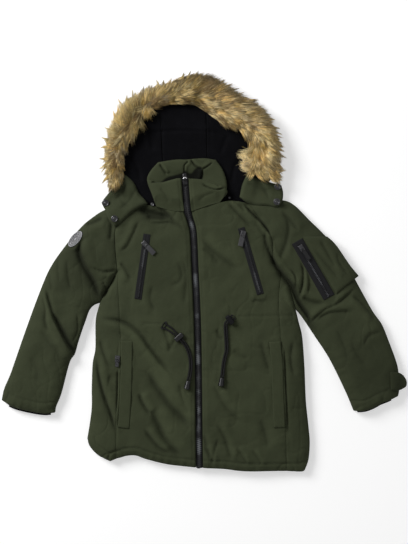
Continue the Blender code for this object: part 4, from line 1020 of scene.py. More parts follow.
CLOTH = olive_cloth()
INSIDE = olive_cloth("olive_canvas_inside")
FLEECE = fleece()
KNIT = fleece("black_rib_knit", (0.0040, 0.0040, 0.0046))
TAPE = tape()
# the second colour of each is a painted glint on the teeth
TEETH = glinting("moulded_teeth", (0.021, 0.021, 0.023), (0.16, 0.17, 0.18))
SMALL_TEETH = glinting("moulded_small_teeth", (0.019, 0.019, 0.021), (0.075, 0.078, 0.084))
PLASTIC = moulded("black_plastic_gloss", (0.0038, 0.0038, 0.0044), 0.30, gloss=0.22)
DULL = moulded("black_plastic_dull", (0.0026, 0.0026, 0.0030), 0.5, gloss=0.10)
RUBBER = moulded("grey_rubber_tab", (0.036, 0.036, 0.038), 0.50)
METAL = metal()
BRIGHT = metal("polished_metal", (0.62, 0.62, 0.63), 0.22)
BRAID = braid()
HAIR = fur_hair()
BADGE = badge_rubber()
THREAD = moulded("olive_thread", (0.048, 0.053, 0.033), 0.6)


# ---- camera, lights and floor

VIEW_WIDTH = 0.918        # what the view covers from side to side on the coat's front
EYE_HEIGHT = 2.60
EYE_AT = (2.2 * MM, -1.1 * MM)


def camera():
    """Camera straight above the coat."""
    data = bpy.data.cameras.new("camera")
    data.sensor_fit = "HORIZONTAL"
    data.sensor_width = 36.0
    data.lens = 36.0 * (EYE_HEIGHT - 20 * MM) / VIEW_WIDTH
    obj = placed("camera", data)
    obj.location = (*EYE_AT, EYE_HEIGHT)
    bpy.context.scene.camera = obj


def softbox(name, place, size, power):
    """Square area light aimed at the coat."""
    data = bpy.data.lights.new(name, "AREA")
    data.energy = power
    data.size = size
    obj = placed(name, data)
    obj.location = place
    obj.rotation_euler = (-Vector(place)).to_track_quat("-Z", "Y").to_euler()


def daylight(strength):
    """Even pale world light, which the camera and shiny things see as white."""
    world = bpy.data.worlds.new("studio")
    world.use_nodes = True
    bpy.context.scene.world = world
    tree = world.node_tree
    back = tree.nodes["Background"]
    back.inputs["Color"].default_value = (1.0, 1.0, 1.0, 1.0)
    path = node(tree, "ShaderNodeLightPath")
    seen = maths(tree, "MAXIMUM", path.outputs["Is Camera Ray"],
                 maths(tree, "MAXIMUM", path.outputs["Is Glossy Ray"],
                       path.outputs["Is Transmission Ray"]))
    level = maths(tree, "ADD", strength, maths(tree, "MULTIPLY", seen, 1.0 - strength))
    tree.links.new(level, back.inputs["Strength"])


def floor():
    """White floor that keeps the coat's shadow; the camera sees it a little brighter than lit."""
    made, tree, shader = finish("white_floor", (0.66, 0.66, 0.66), 0.9, **{"Specular IOR Level": 0.1})
    path = node(tree, "ShaderNodeLightPath")
    shader.inputs["Emission Color"].default_value = (1.0, 1.0, 1.0, 1.0)
    tree.links.new(maths(tree, "MULTIPLY", path.outputs["Is Camera Ray"], 0.50),
                   shader.inputs["Emission Strength"])
    half = 5.0
    mesh = bpy.data.meshes.new("floor")
    mesh.from_pydata([(-half, -half, 0), (half, -half, 0), (half, half, 0), (-half, half, 0)], [],
                     [(0, 1, 2, 3)])
    obj = placed("floor", mesh)
    obj.location.z = -0.3 * MM
    mesh.materials.append(made)


camera()
softbox("key", (-2.1, 1.5, 1.9), 1.4, 104.0)
softbox("fill", (1.9, -0.9, 2.2), 1.8, 6.0)
daylight(0.23)
floor()
bpy.context.scene.view_settings.view_transform = "Standard"


# ---- drawcords

# Middle of the pair, its height, and half the spread of its strands.
CORD_ROWS = {
    "right": [
        (-87.5, -121, 32.2, 5), (-73, -130, 31.8, 4.2), (-60.5, -140.5, 33, 2.5),
        (-54, -147, 33.4, 2.4), (-46, -156, 32.6, 2.4), (-37, -168.5, 30.6, 2.35),
        (-30, -187, 30.6, 2.35), (-27.3, -208, 30.6, 2.35), (-29, -228, 31.4, 2.35),
        (-32.5, -244, 33.3, 2.35),
    ],
    "left": [
        (67, -102.6, 34.6, 2.6), (60, -108, 35, 2.4), (53, -114, 34, 2.4),
        (50.5, -122, 31.6, 2.35), (51.5, -143, 30.6, 2.35), (52.7, -163, 30.6, 2.35),
        (52.8, -177, 30.6, 2.35), (49.7, -189.5, 30.6, 2.35), (46, -207.5, 30.6, 2.35),
        (44, -226, 31.4, 2.35), (42.5, -237, 33.3, 2.35),
    ],
}


def tube(name, path, radius, look, sides=14, replaces=(), body="root"):
    """Round tube along a path: a ring at each point, square to the path, with closed ends.

    Each ring's first point lies level with its middle, and UV runs round and along in metres.
    """
    run = unit(np.gradient(path, axis=0))
    level = unit(np.column_stack([to_left(run), np.zeros(len(run))]))
    rise = np.cross(run, level)
    turn = np.linspace(0.0, 2 * math.pi, sides, endpoint=False)
    radii = np.broadcast_to(radius, len(path))
    rings = path[:, None] + radii[:, None, None] * (
        np.cos(turn)[None, :, None] * level[:, None] + np.sin(turn)[None, :, None] * rise[:, None])
    uv = np.stack(np.broadcast_arrays(turn[None] * radii.max(), passed_at(path)[:, None]), axis=-1)
    return piece(name, rings.reshape(-1, 3), swept(len(path), sides), look,
                 uv.reshape(-1, 2), body, replaces)


def drawcords():
    """Two strands a side, from the eyelets through the cord lock into the bell end."""
    for side, rows in CORD_ROWS.items():
        pair = through(rows, 70)
        route, spread = pair[:, :3], pair[:, 3]
        for label, sign in (("a", 1), ("b", -1)):
            strand = route.copy()
            strand[:, :2] += sign * spread[:, None] * to_left(headings(route))
            name = f"drawcord_{side}_{label}"
            cord = tube(f"braid_{side}_{label}", strand, STRAND / 2, BRAID,
                        replaces=(name,))


drawcords()


# ---- cloth

def body_panels():
    """Back, fronts and side fronts."""
    grid = plan("back_panel", 6 * MM)
    x, y = xy(grid)
    low, high = under_side(x, y, ("side_right", "corner_right", "side_left", "hem_side_right",
                                  "hem_right", "hem_left", "hem_side_left"), BACK_TOP)
    low = low + hidden_folds(x, y)
    slab("back_panel", grid, high, low, CLOTH, cut=(0.50, 0.62, 0.262))
    cuts = {"front_right": (0.21, 0.60, 0.098), "front_left": (0.22, 0.61, 0.100),
            "side_front_right": (0.08, 0.44, 0.024), "side_front_left": (0.06, 0.46, 0.022)}
    for name, cut in cuts.items():
        grid = plan(name, 2.5 * MM)
        slab(name, grid, coat(*xy(grid)), BACK_TOP + GAP, CLOTH, cut=cut,
             shade=fold_shade(CREASE_LINES, firmness))


def hidden_folds(x, y):
    """Shallow creases pressed up into the underside, like those on top but shifted and milder."""
    back = creased(0.02 - 0.96 * x, 1.03 * y + 0.012)
    return np.clip(-0.45 * back, 0.0, 2.5 * MM)


def sleeves():
    """Upper and under half of each sleeve."""
    for side, grain, cut in (("right", -0.42, (0.24, 0.46, 0.066)), ("left", 0.50, (0.24, 0.50, 0.072))):
        grid = plan(f"sleeve_{side}", 2.5 * MM)
        # painted shade: the right sleeve's greys are dimmed to 0.92
        painted_dimming = 0.92 if side == "right" else 1.0
        slab(f"sleeve_{side}_upper", grid, coat(*xy(grid)), UNDER_SLEEVE_TOP + GAP,
             CLOTH, grain, cut=cut, shade=fold_shade(CREASE_LINES, firmness, painted_dimming))
        grid = plan(f"sleeve_{side}", 6 * MM)
        x, y = xy(grid)
        low, high = under_side(x, y, (f"sleeve_{side}_outer", f"sleeve_{side}_inner",
                                      f"cuff_{side}"), UNDER_SLEEVE_TOP)
        slab(f"sleeve_{side}_under", grid, high, low + hidden_folds(x, y), CLOTH, grain, cut=cut)


body_panels()
sleeves()


def edge_gaps(grid):
    """Distance from each point of a grid to the grid's left, right, top and bottom border."""
    lines = (grid[:, 0], grid[:, -1], grid[0], grid[-1])
    return [np.abs(nearest(line, grid[..., 0], grid[..., 1])[0]) for line in lines]


def round_over(gaps, drop, reach):
    """Drop of a quarter ellipse near the closest border."""
    return drop * rounding(np.minimum.reduce(gaps), reach)


def eased(gap, reach):
    """From 1 at the edge to 0 at the reach, level at both ends."""
    return 1.0 - smooth(held(gap / reach))


def channel(gap, distance, depth, width):
    """Sewn channel at a distance from a border: a bell-shaped dip."""
    return depth * np.exp(-((gap - distance) / width) ** 2)


def evened(height, rounds):
    """Heights blurred by a mean of the four neighbours."""
    for _ in range(rounds):
        wide = np.pad(height, 1, mode="edge")
        height = 0.4 * height + 0.15 * (wide[:-2, 1:-1] + wide[2:, 1:-1]
                                        + wide[1:-1, :-2] + wide[1:-1, 2:])
    return height


def node_faces(name, grid, rounds=10):
    """Heights of a node's top and underside over a grid, from rays, with its facets blurred."""
    obj = bpy.data.objects[name]
    tree = BVHTree.FromObject(obj, bpy.context.evaluated_depsgraph_get())
    middle = grid.reshape(-1, 2).mean(0)
    found = np.zeros((2,) + grid.shape[:2])
    for place in np.ndindex(grid.shape[:2]):
        for shrink in (0.995, 0.97, 0.93, 0.85, 0.7):
            x, y = middle + shrink * (grid[place] - middle)
            above = tree.ray_cast(Vector((x, y, 0.2)), Vector((0, 0, -1)))[0]
            below = tree.ray_cast(Vector((x, y, -0.1)), Vector((0, 0, 1)))[0]
            if above is not None and below is not None:
                found[:, place[0], place[1]] = above.z, below.z
                break
    return evened(found[0], rounds), evened(found[1], rounds)


# ---- hood and collar

LINING_CREASES = [
    (2.2, 4, 0.5, [(-150, 316), (-92, 317), (16, 316), (70, 306)]),
    (0.8, 3.5, 0.4, [(-95, 372), (-92, 330), (-91, 260)]),
    (0.8, 3.5, 0.4, [(12, 350), (16, 320), (17, 262)]),
    (2.4, 9, 0.5, [(-170, 262), (-150, 236), (-138, 200)]),
    (2.2, 8, 0.5, [(92, 262), (72, 236), (64, 196)]),
    (1.8, 8, -0.5, [(-130, 330), (-118, 300), (-112, 268)]),
    (1.8, 8, 0.5, [(60, 312), (48, 290), (40, 262)]),
]
LINING_LINES = crease_lines(LINING_CREASES)
COLLAR_CREASES = [
    # depth, width, ridge, points
    (3.4, 2.6, 0.55, [(-118, 199), (-112, 200), (-92, 202), (-80, 204)]),
    (3.2, 2.4, 0.6, [(-4, 199), (8, 190), (28, 184), (49, 186)]),
    (2.4, 2.4, -0.5, [(24, 201), (33, 193), (38, 186)]),
    (0.9, 7, 0.4, [(-98, 190), (-84, 172), (-74, 152)]),
    (0.8, 7, 0.4, [(30, 178), (6, 170), (-12, 156)]),
]
COLLAR_LINES = crease_lines(COLLAR_CREASES)
# Outline of the gap behind the zip's top end, from the wearer's right to left: below it the collar is
# painted near black, as shadow and as the black lining out of sight there.
COLLAR_MOUTH = [(-90, 204), (-78, 212), (-62, 216), (-46, 221), (-41, 226), (-34, 221), (-25, 221),
                (-18, 229), (-10, 234), (-4, 232), (-1, 218), (-3, 203)]
BACK_CREASES = [
    (3.4, 2.4, 0.6, [(-98, 243), (-90, 230), (-80, 217)]),
    (3, 2, 0.5, [(-36, 252), (-35, 245), (-41, 239), (-42, 228), (-41, 218)]),
    (4.2, 2.6, 0.6, [(-28, 253), (-19, 240), (-10, 233), (0, 229)]),
    (3.4, 2.6, -0.5, [(-1, 231), (-1, 220), (-4, 206)]),
    (3, 2.2, 0.5, [(-3, 229), (8, 235), (22, 245)]),
]
BACK_LINES = crease_lines(BACK_CREASES)


def hood():
    """Shell below the fur, and the three lining panels with their seams."""
    grid = plan("hood_shell", 7 * MM)
    gaps = edge_gaps(grid)
    free = round_over(gaps[:3], 1.0, 8 * MM)
    slab("hood_shell", grid, SHELL_TOP * (1 - 0.3 * free), SHELL_TOP * 0.45 * free, CLOTH,
         cut=(0.42, 0.36, 0.086))

    neck = np.vstack([through(LINE_ROWS[f"neck_{side}"][1], 10) for side in ("right", "left")])
    share = 0.22
    seam_right = np.array([hood_line(share, 0, 6, 12)[-1], neck[6]])
    seam_left = np.array([hood_line(share, 9, 15, 12)[0], neck[14]])
    corner_right = neck[0] + np.array([4.0, 1.0]) * MM
    corner_left = neck[-1] + np.array([-4.0, 1.0]) * MM
    linings = {
        "right": (resample(np.vstack([hood_line(share, 0, 3, 8)[::-1], corner_right]), 24),
                  resample(seam_right, 24), hood_line(share, 3, 6, 18),
                  resample(np.vstack([corner_right, neck[1:7]]), 18)),
        "centre": (resample(seam_right, 24), resample(seam_left, 24),
                   hood_line(share, 6, 9, 24), resample(neck[6:15], 24)),
        "left": (resample(seam_left, 24),
                 resample(np.vstack([hood_line(share, 12, 15, 8), corner_left]), 24),
                 hood_line(share, 9, 12, 18),
                 resample(np.vstack([neck[14:21], corner_left]), 18)),
    }
    cuts = {"right": (0.14, 0.25, 0.020), "centre": (0.14, 0.26, 0.027), "left": (0.15, 0.25, 0.022)}
    for part, edges in linings.items():
        grid = crowded(settle(coons(*edges), LINED_ROUNDS), 3.5 * MM)
        x, y = xy(grid)
        height = LINING_TOP + creased(x, y, LINING_LINES) + 0.8 * MM * lumps(x, y, 24 * MM, 9) \
            - round_over(edge_gaps(grid), 2.0 * MM, 5 * MM)
        height = np.minimum(height, LINING_TOP + 0.05 * MM)
        slab(f"hood_lining_{part}", grid, height, SHELL_TOP + GAP, FLEECE, cut=cuts[part])


def collar():
    """Collar's back, whose inner face sinks into the neck, and its two fronts beside the zip."""
    grid = small_plan((
        [(-101, 246), (-117, 228), (-126, 210), (-122, 190), (-110, 162)],
        [(29, 251), (45, 228), (54, 197), (50, 172), (38, 163)],
        [(-101, 246), (-61, 252), (-38, 252), (2, 255), (29, 251)],
        [(-110, 162), (-68, 146), (-35, 145), (0, 152), (38, 163)]), 1.9 * MM)
    x, y = xy(grid)
    hollow = np.exp(-(np.abs(x + 34 * MM) / (56 * MM)) ** 3 - (np.abs(y - 208 * MM) / (20 * MM)) ** 2.4)
    height = COLLAR_BACK_TOP - 0.8 * MM + 0.8 * creased(x, y, BACK_LINES) - 8.0 * MM * hollow \
        - round_over(edge_gaps(grid), 4.5 * MM, 6 * MM) + 0.5 * MM * lumps(x, y, 16 * MM, 12)
    height = np.clip(height, LINING_TOP + 1.2 * MM, COLLAR_BACK_TOP)
    obj = slab("collar_back", grid, height, LINING_TOP + GAP, INSIDE, cut=(0.17, 0.11, 0.0155))
    mouth = through(COLLAR_MOUTH, 60)

    folds = fold_shade(BACK_LINES)

    # painted shadow: near black below the gap's outline, over the painted fold shade
    def shade(px, py):
        gap, _ = nearest(mouth, px, py)
        return folds(px, py) * np.clip(0.07 + 0.93 * (gap + 1.0 * MM) / (4.0 * MM), 0.07, 1.0)

    paint(obj, shade)

    spine = LINE["collar_spine"]
    inner = {"right": beside(spine, -BAND_WIDTH / 2), "left": beside(spine, BAND_WIDTH / 2)}
    foot_right = through(LINE_ROWS["neck_right"][1], 10)[4:]
    foot_left = through(LINE_ROWS["neck_left"][1], 10)[:6]
    inner["right"][-1], inner["left"][-1] = foot_right[-1], foot_left[0]
    outer_right = through([(-124, 206), (-123, 197), (-110, 159), tuple(foot_right[0] / MM)], 18)
    top_right = through([(-124, 206), (-96, 200), (-57, 209), tuple(inner["right"][0] / MM)], 18)
    outer_left = through([(50, 190), (55, 177), (45, 164), tuple(foot_left[-1] / MM)], 18)
    top_left = through([tuple(inner["left"][0] / MM), (-8, 207), (12, 203), (30, 194), (50, 190)], 18)
    fronts = {
        "right": (outer_right, inner["right"], top_right, resample(foot_right, 18)),
        "left": (inner["left"], outer_left, top_left, resample(foot_left, 18)),
    }
    cuts = {"right": (0.085, 0.085, 0.0054), "left": (0.105, 0.07, 0.0058)}
    for side, edges in fronts.items():
        grid = crowded(settle(coons(*edges), LINED_ROUNDS), 1.8 * MM)
        x, y = xy(grid)
        gaps = edge_gaps(grid)
        outer_gap, inner_gap = (gaps[0], gaps[1]) if side == "right" else (gaps[1], gaps[0])
        drop = np.maximum.reduce([
            round_over([outer_gap], 8 * MM, 22 * MM), round_over([gaps[2]], 5 * MM, 8 * MM),
            9.2 * MM * eased(gaps[3], 34 * MM), round_over([inner_gap], 5 * MM, 12 * MM)])
        height = COLLAR_TOP - drop + creased(x, y, COLLAR_LINES) \
            - channel(inner_gap, 6.5 * MM, 0.9 * MM, 1.6 * MM) + 0.5 * MM * lumps(x, y, 18 * MM, 21)
        slab(f"collar_front_{side}", grid, np.minimum(height, COLLAR_TOP), COLLAR_BACK_TOP + GAP,
             CLOTH, cut=cuts[side], shade=fold_shade(COLLAR_LINES))


# ---- flaps, pockets, cuffs and badge

FLAP_ROWS = {
    "hood_flap_right": (
        [(-179, 219), (-184, 204), (-202, 189), (-222, 166), (-229, 155)],
        [(-124, 152), (-158, 134), (-182, 111), (-198, 100)],
        [(-179, 219), (-171, 215), (-154, 198), (-145, 178), (-130, 161), (-124, 152)],
        [(-229, 155), (-223, 143), (-219, 137), (-212, 117), (-198, 100)],
    ),
    "hood_flap_left": (
        [(98, 218), (88, 195), (82, 167)],
        [(177, 194), (181, 178), (179, 160), (172, 149)],
        [(98, 218), (132, 207), (177, 194)],
        [(82, 167), (100, 153.5), (122, 147.5), (145, 147), (164, 144), (172, 149)],
    ),
    "sleeve_pocket": (
        [(223, 79), (299, -51)],
        [(279, 79), (299, 60), (330, 15), (351, -10)],
        [(223, 79), (279, 79)],
        [(299, -51), (322, -31), (351, -10)],
    ),
    "cuff_tab_left": (
        [(420, -226), (421, -266)],
        [(452, -234), (459, -246), (458, -259), (446, -266)],
        [(420, -226), (440, -227), (452, -234)],
        [(421, -266), (434, -268), (446, -266)],
    ),
}
SNAP_SPOTS = [(-219, 154), (-198, 118), (168, 191), (165, 156)]
# Cut, edge roll and its reach, stitched channel's distance from the edge, and creases.
FLAP_LOOKS = {
    "hood_flap_right": ((0.085, 0.11, 0.0068), 1.3, 2.5, 5, [
        (1.2, 5, 0.5, [(-172, 200), (-182, 178), (-200, 160)]),
        (1, 5, 0.4, [(-150, 186), (-164, 160), (-188, 138)]),
        (0.8, 6, 0.5, [(-196, 182), (-180, 156), (-160, 142)])]),
    "hood_flap_left": ((0.095, 0.06, 0.0046), 1.3, 2.5, 5, [
        (1, 6, 0.5, [(96, 200), (124, 190), (150, 176)]),
        (0.8, 5, 0.4, [(120, 206), (140, 184), (150, 160)])]),
    "sleeve_pocket": ((0.075, 0.15, 0.0098), 1.6, 4, 5.5, [
        (1.5, 6, 0.5, [(262, 74), (280, 40), (300, 6)]),
        (1.2, 6, 0.5, [(246, 52), (276, 18), (308, -20)]),
        (1.2, 5, -0.4, [(300, 44), (306, 20), (326, -8)])]),
    "cuff_tab_left": ((0.038, 0.04, 0.0014), 1.2, 2.5, 4, []),
}


def lying_pieces():
    """Hood flaps, sleeve pocket and cuff tab: the node's own heights, with rolled stitched edges."""
    for name, rows in FLAP_ROWS.items():
        cut, drop, reach, seam, creases = FLAP_LOOKS[name]
        grid = small_plan(rows, 2.2 * MM)
        top, below = node_faces(name, grid)
        x, y = xy(grid)
        gaps = edge_gaps(grid)
        if name == "sleeve_pocket":
            gaps = gaps[:1] + gaps[2:]
        lines = crease_lines(creases)
        near = np.minimum.reduce(gaps)
        slope = held(1 - near / (8 * MM)) ** 2 * np.maximum(top - below - 2.2 * MM, 0)
        for sx, sy in SNAP_SPOTS:
            slope *= 1 - np.exp(-(np.hypot(x - sx * MM, y - sy * MM) / (9 * MM)) ** 4)
        height = top - slope - round_over(gaps, drop * MM, reach * MM) + creased(x, y, lines) \
            - channel(near, seam * MM, 0.35 * MM, 0.9 * MM)
        height = np.maximum(height, below + 1.0 * MM)
        # painted shade: the right hood flap's greys are dimmed to 0.91
        slab(name, grid, height, below, CLOTH, 0.6 if "right" in name else -0.5,
             cut=cut, shade=fold_shade(lines, None, 0.91 if name == "hood_flap_right" else 1.0))


def welts():
    """Pocket welts beside the princess seams, stitched all round."""
    for side, inward in (("right", 1), ("left", -1)):
        seam = through(LINE_ROWS[f"princess_{side}"][1], 400)
        rows = resample(seam[(seam[:, 1] < -155 * MM) & (seam[:, 1] > -350 * MM)], 60)
        lines = [beside(rows, inward * (1.0 + share * 26.0) * MM) for share in np.linspace(0, 1, 14)]
        grid = np.stack(lines, axis=1)
        x, y = xy(grid)
        gaps = edge_gaps(grid)
        top, below = node_faces(f"pocket_welt_{side}", grid, 2)
        height = top - round_over(gaps, 1.2 * MM, 2.5 * MM) \
            - channel(np.minimum.reduce(gaps), 4.5 * MM, 0.4 * MM, 1.0 * MM) \
            + 0.6 * MM * lumps(x, y, 16 * MM, 31) - 0.9 * MM * np.exp(
                -np.abs(lumps(x + y * 0.8, y * 0.5, 17 * MM, 33)) / 0.16)
        slab(f"pocket_welt_{side}", grid, np.maximum(height, below + 0.8 * MM), below, CLOTH,
             cut=(0.027, 0.20, 0.0054))


def knit_cuffs():
    """Edge of each knit inner cuff, with ribs that run along the sleeve."""
    for side, sign, cut in (("right", -1, (0.110, 0.0160, 0.00160)),
                            ("left", 1, (0.100, 0.0110, 0.00105))):
        cuff = through(LINE_ROWS[f"cuff_{side}"][1], 12)[2:-1]
        start = beside(cuff, sign * GAP)
        end = beside(start, sign * KNIT_REACH[side])
        share = np.linspace(0.0, 1.0, 8)[:, None, None]
        grid = (1 - share) * resample(start, 120) + share * resample(end, 120)
        run = np.linspace(0.0, 1.0, 121)[None, :]
        gaps = edge_gaps(grid)
        rib = 0.7 * MM * np.cos(run * 2 * math.pi * 30)
        round_off = round_over(gaps[3:], 4.5 * MM, 5.0 * MM)
        slab(f"cuff_knit_{side}", grid, 15.0 * MM - 0.8 * MM + rib - round_off,
             3.0 * MM + 0.5 * round_off, KNIT, cut=cut)


def badge():
    """Round rubber badge with raised plain rings, from its middle outwards."""
    centre, along = np.array([-287.0, 73.0]) * MM, np.array([0.655, 0.756])
    across = np.array([along[1], -along[0]])
    turns, steps = 72, 30
    turn = np.linspace(0, 2 * math.pi, turns, endpoint=False)
    radius = np.linspace(0.0, 1.0, steps + 1)[1:]
    u = radius[:, None] * np.cos(turn)[None] * 10.4 * MM
    v = radius[:, None] * np.sin(turn)[None] * 22.3 * MM
    flat = centre + u[..., None] * across + v[..., None] * along
    top, below = node_faces("badge", flat, 0)
    top = np.median(top) + np.clip(top - np.median(top), -3 * MM, 3 * MM)
    ring = ((radius > 0.86) & (radius < 0.95)) | ((radius > 0.44) & (radius < 0.52)) | (radius < 0.16)
    marks = (radius > 0.60) & (radius < 0.78)
    dashes = np.cos(turn * 18) > 0.0
    raised = ring[:, None] | (marks[:, None] & dashes[None])
    height = evened(top, 3) - 0.5 * MM + np.where(raised, 0.5 * MM, 0.0)
    height[-1] -= 1.0 * MM
    upper = np.concatenate([flat.reshape(-1, 2), height.reshape(-1, 1)], axis=1)
    middle = np.array([[*centre, height[0].mean()]])
    foot = np.column_stack([flat[-1], np.minimum(below[-1], height[-1] - 0.5 * MM)])
    points = np.vstack([upper, middle, foot])
    quads = swept(steps, turns)[0][:, [0, 3, 2, 1]]
    hub = np.full(turns, steps * turns)
    fan = np.column_stack([hub, np.arange(turns), np.roll(np.arange(turns), -1)])
    last, low = (steps - 1) * turns + np.arange(turns), steps * turns + 1 + np.arange(turns)
    wall = np.column_stack([last, low, np.roll(low, -1), np.roll(last, -1)])
    under = low[::-1][None]
    faces = [quads, fan, wall, under]
    if np.cross(across, along) < 0:
        faces = [block[:, ::-1] for block in faces]
    obj = piece("badge_disc", points, faces, BADGE, replaces=("badge",))
    grey = np.full(len(points), 0.030)
    grey[:steps * turns] = np.where(raised, 0.24, 0.030).reshape(-1)
    grey[steps * turns] = 0.24
    tint(obj, np.column_stack([grey, grey, grey * 1.05, np.ones(len(grey))]))


KNIT_REACH = {"right": 4.5 * MM, "left": 3.5 * MM}


hood()
collar()
lying_pieces()
welts()
knit_cuffs()
badge()


# ---- fur

SKIN_ROWS = [  # place across the opening's band, and height of the fur's skin
    (0.26, 16.9), (0.09, 17.4), (0.05, 21.0), (0.10, 27.0), (0.24, 33.0), (0.46, 35.0), (0.66, 31.0),
    (0.82, 21.0), (0.88, 11.0), (0.85, 4.5), (0.78, 2.5), (0.72, 2.5), (0.72, 10.8), (0.26, 10.8),
]
SKIN_TOP = np.array(SKIN_ROWS[2:9]).T
# Along the opening, clockwise: share passed, lean of the hair along it, length (mm) at the inner
# and at the outer edge, how dark the tips are, how light the hair is, how far past the outer line
# it may end (mm), and the fringe's heading across and along the opening, and its length.
LEAN_ROWS = np.array([
    (0.00, -1.30, 26, 24, 0.10, 2.05, -12, 0.10, -1.2, 10),
    (0.06, -0.60, 38, 27, 0.12, 1.85, -8, -0.10, -1.0, 12),
    (0.12, 0.30, 44, 28, 0.16, 1.72, -5, -0.30, -1.0, 16),
    (0.20, 0.90, 48, 31, 0.22, 1.68, -5, -0.45, -1.0, 30),
    (0.26, 1.05, 50, 33, 0.35, 1.72, -8, -0.50, -0.9, 34),
    (0.32, 1.00, 50, 35, 0.60, 1.72, -17, -0.35, -0.7, 24),
    (0.39, 0.90, 48, 35, 0.75, 1.78, -18, -0.25, 0.6, 16),
    (0.46, 0.85, 46, 34, 0.85, 1.75, -11, -0.35, 0.9, 22),
    (0.53, 0.90, 46, 34, 0.90, 1.70, 4, -0.35, 1.0, 24),
    (0.58, 0.95, 46, 34, 0.85, 1.80, 1, -0.35, 1.0, 24),
    (0.63, 0.95, 50, 34, 0.65, 1.95, -8, -0.30, 1.0, 24),
    (0.69, 0.90, 50, 34, 0.55, 2.30, -3, -0.28, 1.0, 24),
    (0.75, 0.85, 52, 34, 0.45, 2.70, 3, -0.25, 1.0, 24),
    (0.82, 0.75, 52, 34, 0.25, 2.85, 0, -0.40, 1.0, 24),
    (0.87, 0.60, 50, 32, 0.35, 2.90, -2, -0.75, 0.7, 26),
    (0.92, 0.45, 44, 30, 0.30, 2.80, -4, -0.95, 0.1, 30),
    (0.96, 0.30, 38, 26, 0.20, 2.50, -7, -0.90, -0.3, 30),
    (1.00, 0.15, 34, 24, 0.15, 2.30, -10, -0.60, -0.4, 20),
])
HAIR_TONES = np.array([  # linear colours: gold, tan, cream, grey brown, brown
    (0.50, 0.34, 0.090), (0.42, 0.32, 0.120), (0.62, 0.52, 0.28), (0.30, 0.25, 0.16),
    (0.17, 0.105, 0.035),
])
CREAM, BROWN = 2, 4       # rows of HAIR_TONES
DARK_TIP = np.array([0.030, 0.026, 0.018])
FUR_PIECES = 5
TUFTS = 1200
HAIRS = 38                # to a tuft
FUR_HIGHEST = 50.0 * MM
OPENING = 0.72            # about the length of the opening's line, in metres
GUARD_SHARE = 0.15        # hairs that stand out of their tuft
LOCKS = 9                 # large locks to a piece, whose tufts share a heading and a tone


def fur_place(t, s):
    """Point in plan at a share t along the opening and s across the fur, and its two headings."""
    rows = HOOD_ROWS
    inner, outer = through(rows[:, :2], 240), through(rows[:, 2:], 240)
    at = held(t) * 240
    take = lambda line: np.column_stack([np.interp(at, np.arange(241), line[:, k]) for k in (0, 1)])
    a, b = take(inner), take(outer)
    out = b - a
    width = np.linalg.norm(out, axis=1)
    out /= width[:, None]
    run = take(headings(inner)) * (1 - s[:, None]) + take(headings(outer)) * s[:, None]
    run -= (run * out).sum(1)[:, None] * out
    return a + s[:, None] * (b - a), out, unit(run), width


def fur_at(t):
    """The columns of LEAN_ROWS at a share t along the opening."""
    return [np.interp(t, LEAN_ROWS[:, 0], column) for column in LEAN_ROWS.T[1:]]


def fur_narrow(t):
    """How far across its band the fur reaches, where it ends short of the outer line."""
    return 1.0 + 0.013 * np.minimum(fur_at(t)[5], 0.0)


def fur_skin():
    """Dark skin under the hair: one cross-section swept along the opening, with closed ends."""
    profile = np.array(SKIN_ROWS)
    t = np.linspace(0.002, 0.998, 91)
    rings = []
    narrow = fur_narrow(t)
    for share, height in profile:
        place = fur_place(t, share * narrow)[0]
        rings.append(np.column_stack([place, np.full(len(t), height * MM)]))
    points = np.stack(rings, axis=1).reshape(-1, 3)
    quads, caps = swept(len(t), len(profile))
    skin = finish("fur_skin", (0.20, 0.150, 0.080), 0.9)[0]
    piece("fur_skin", points, [quads[:, [1, 0, 3, 2]], caps[:, ::-1]], skin,
          replaces=("fur_trim",))


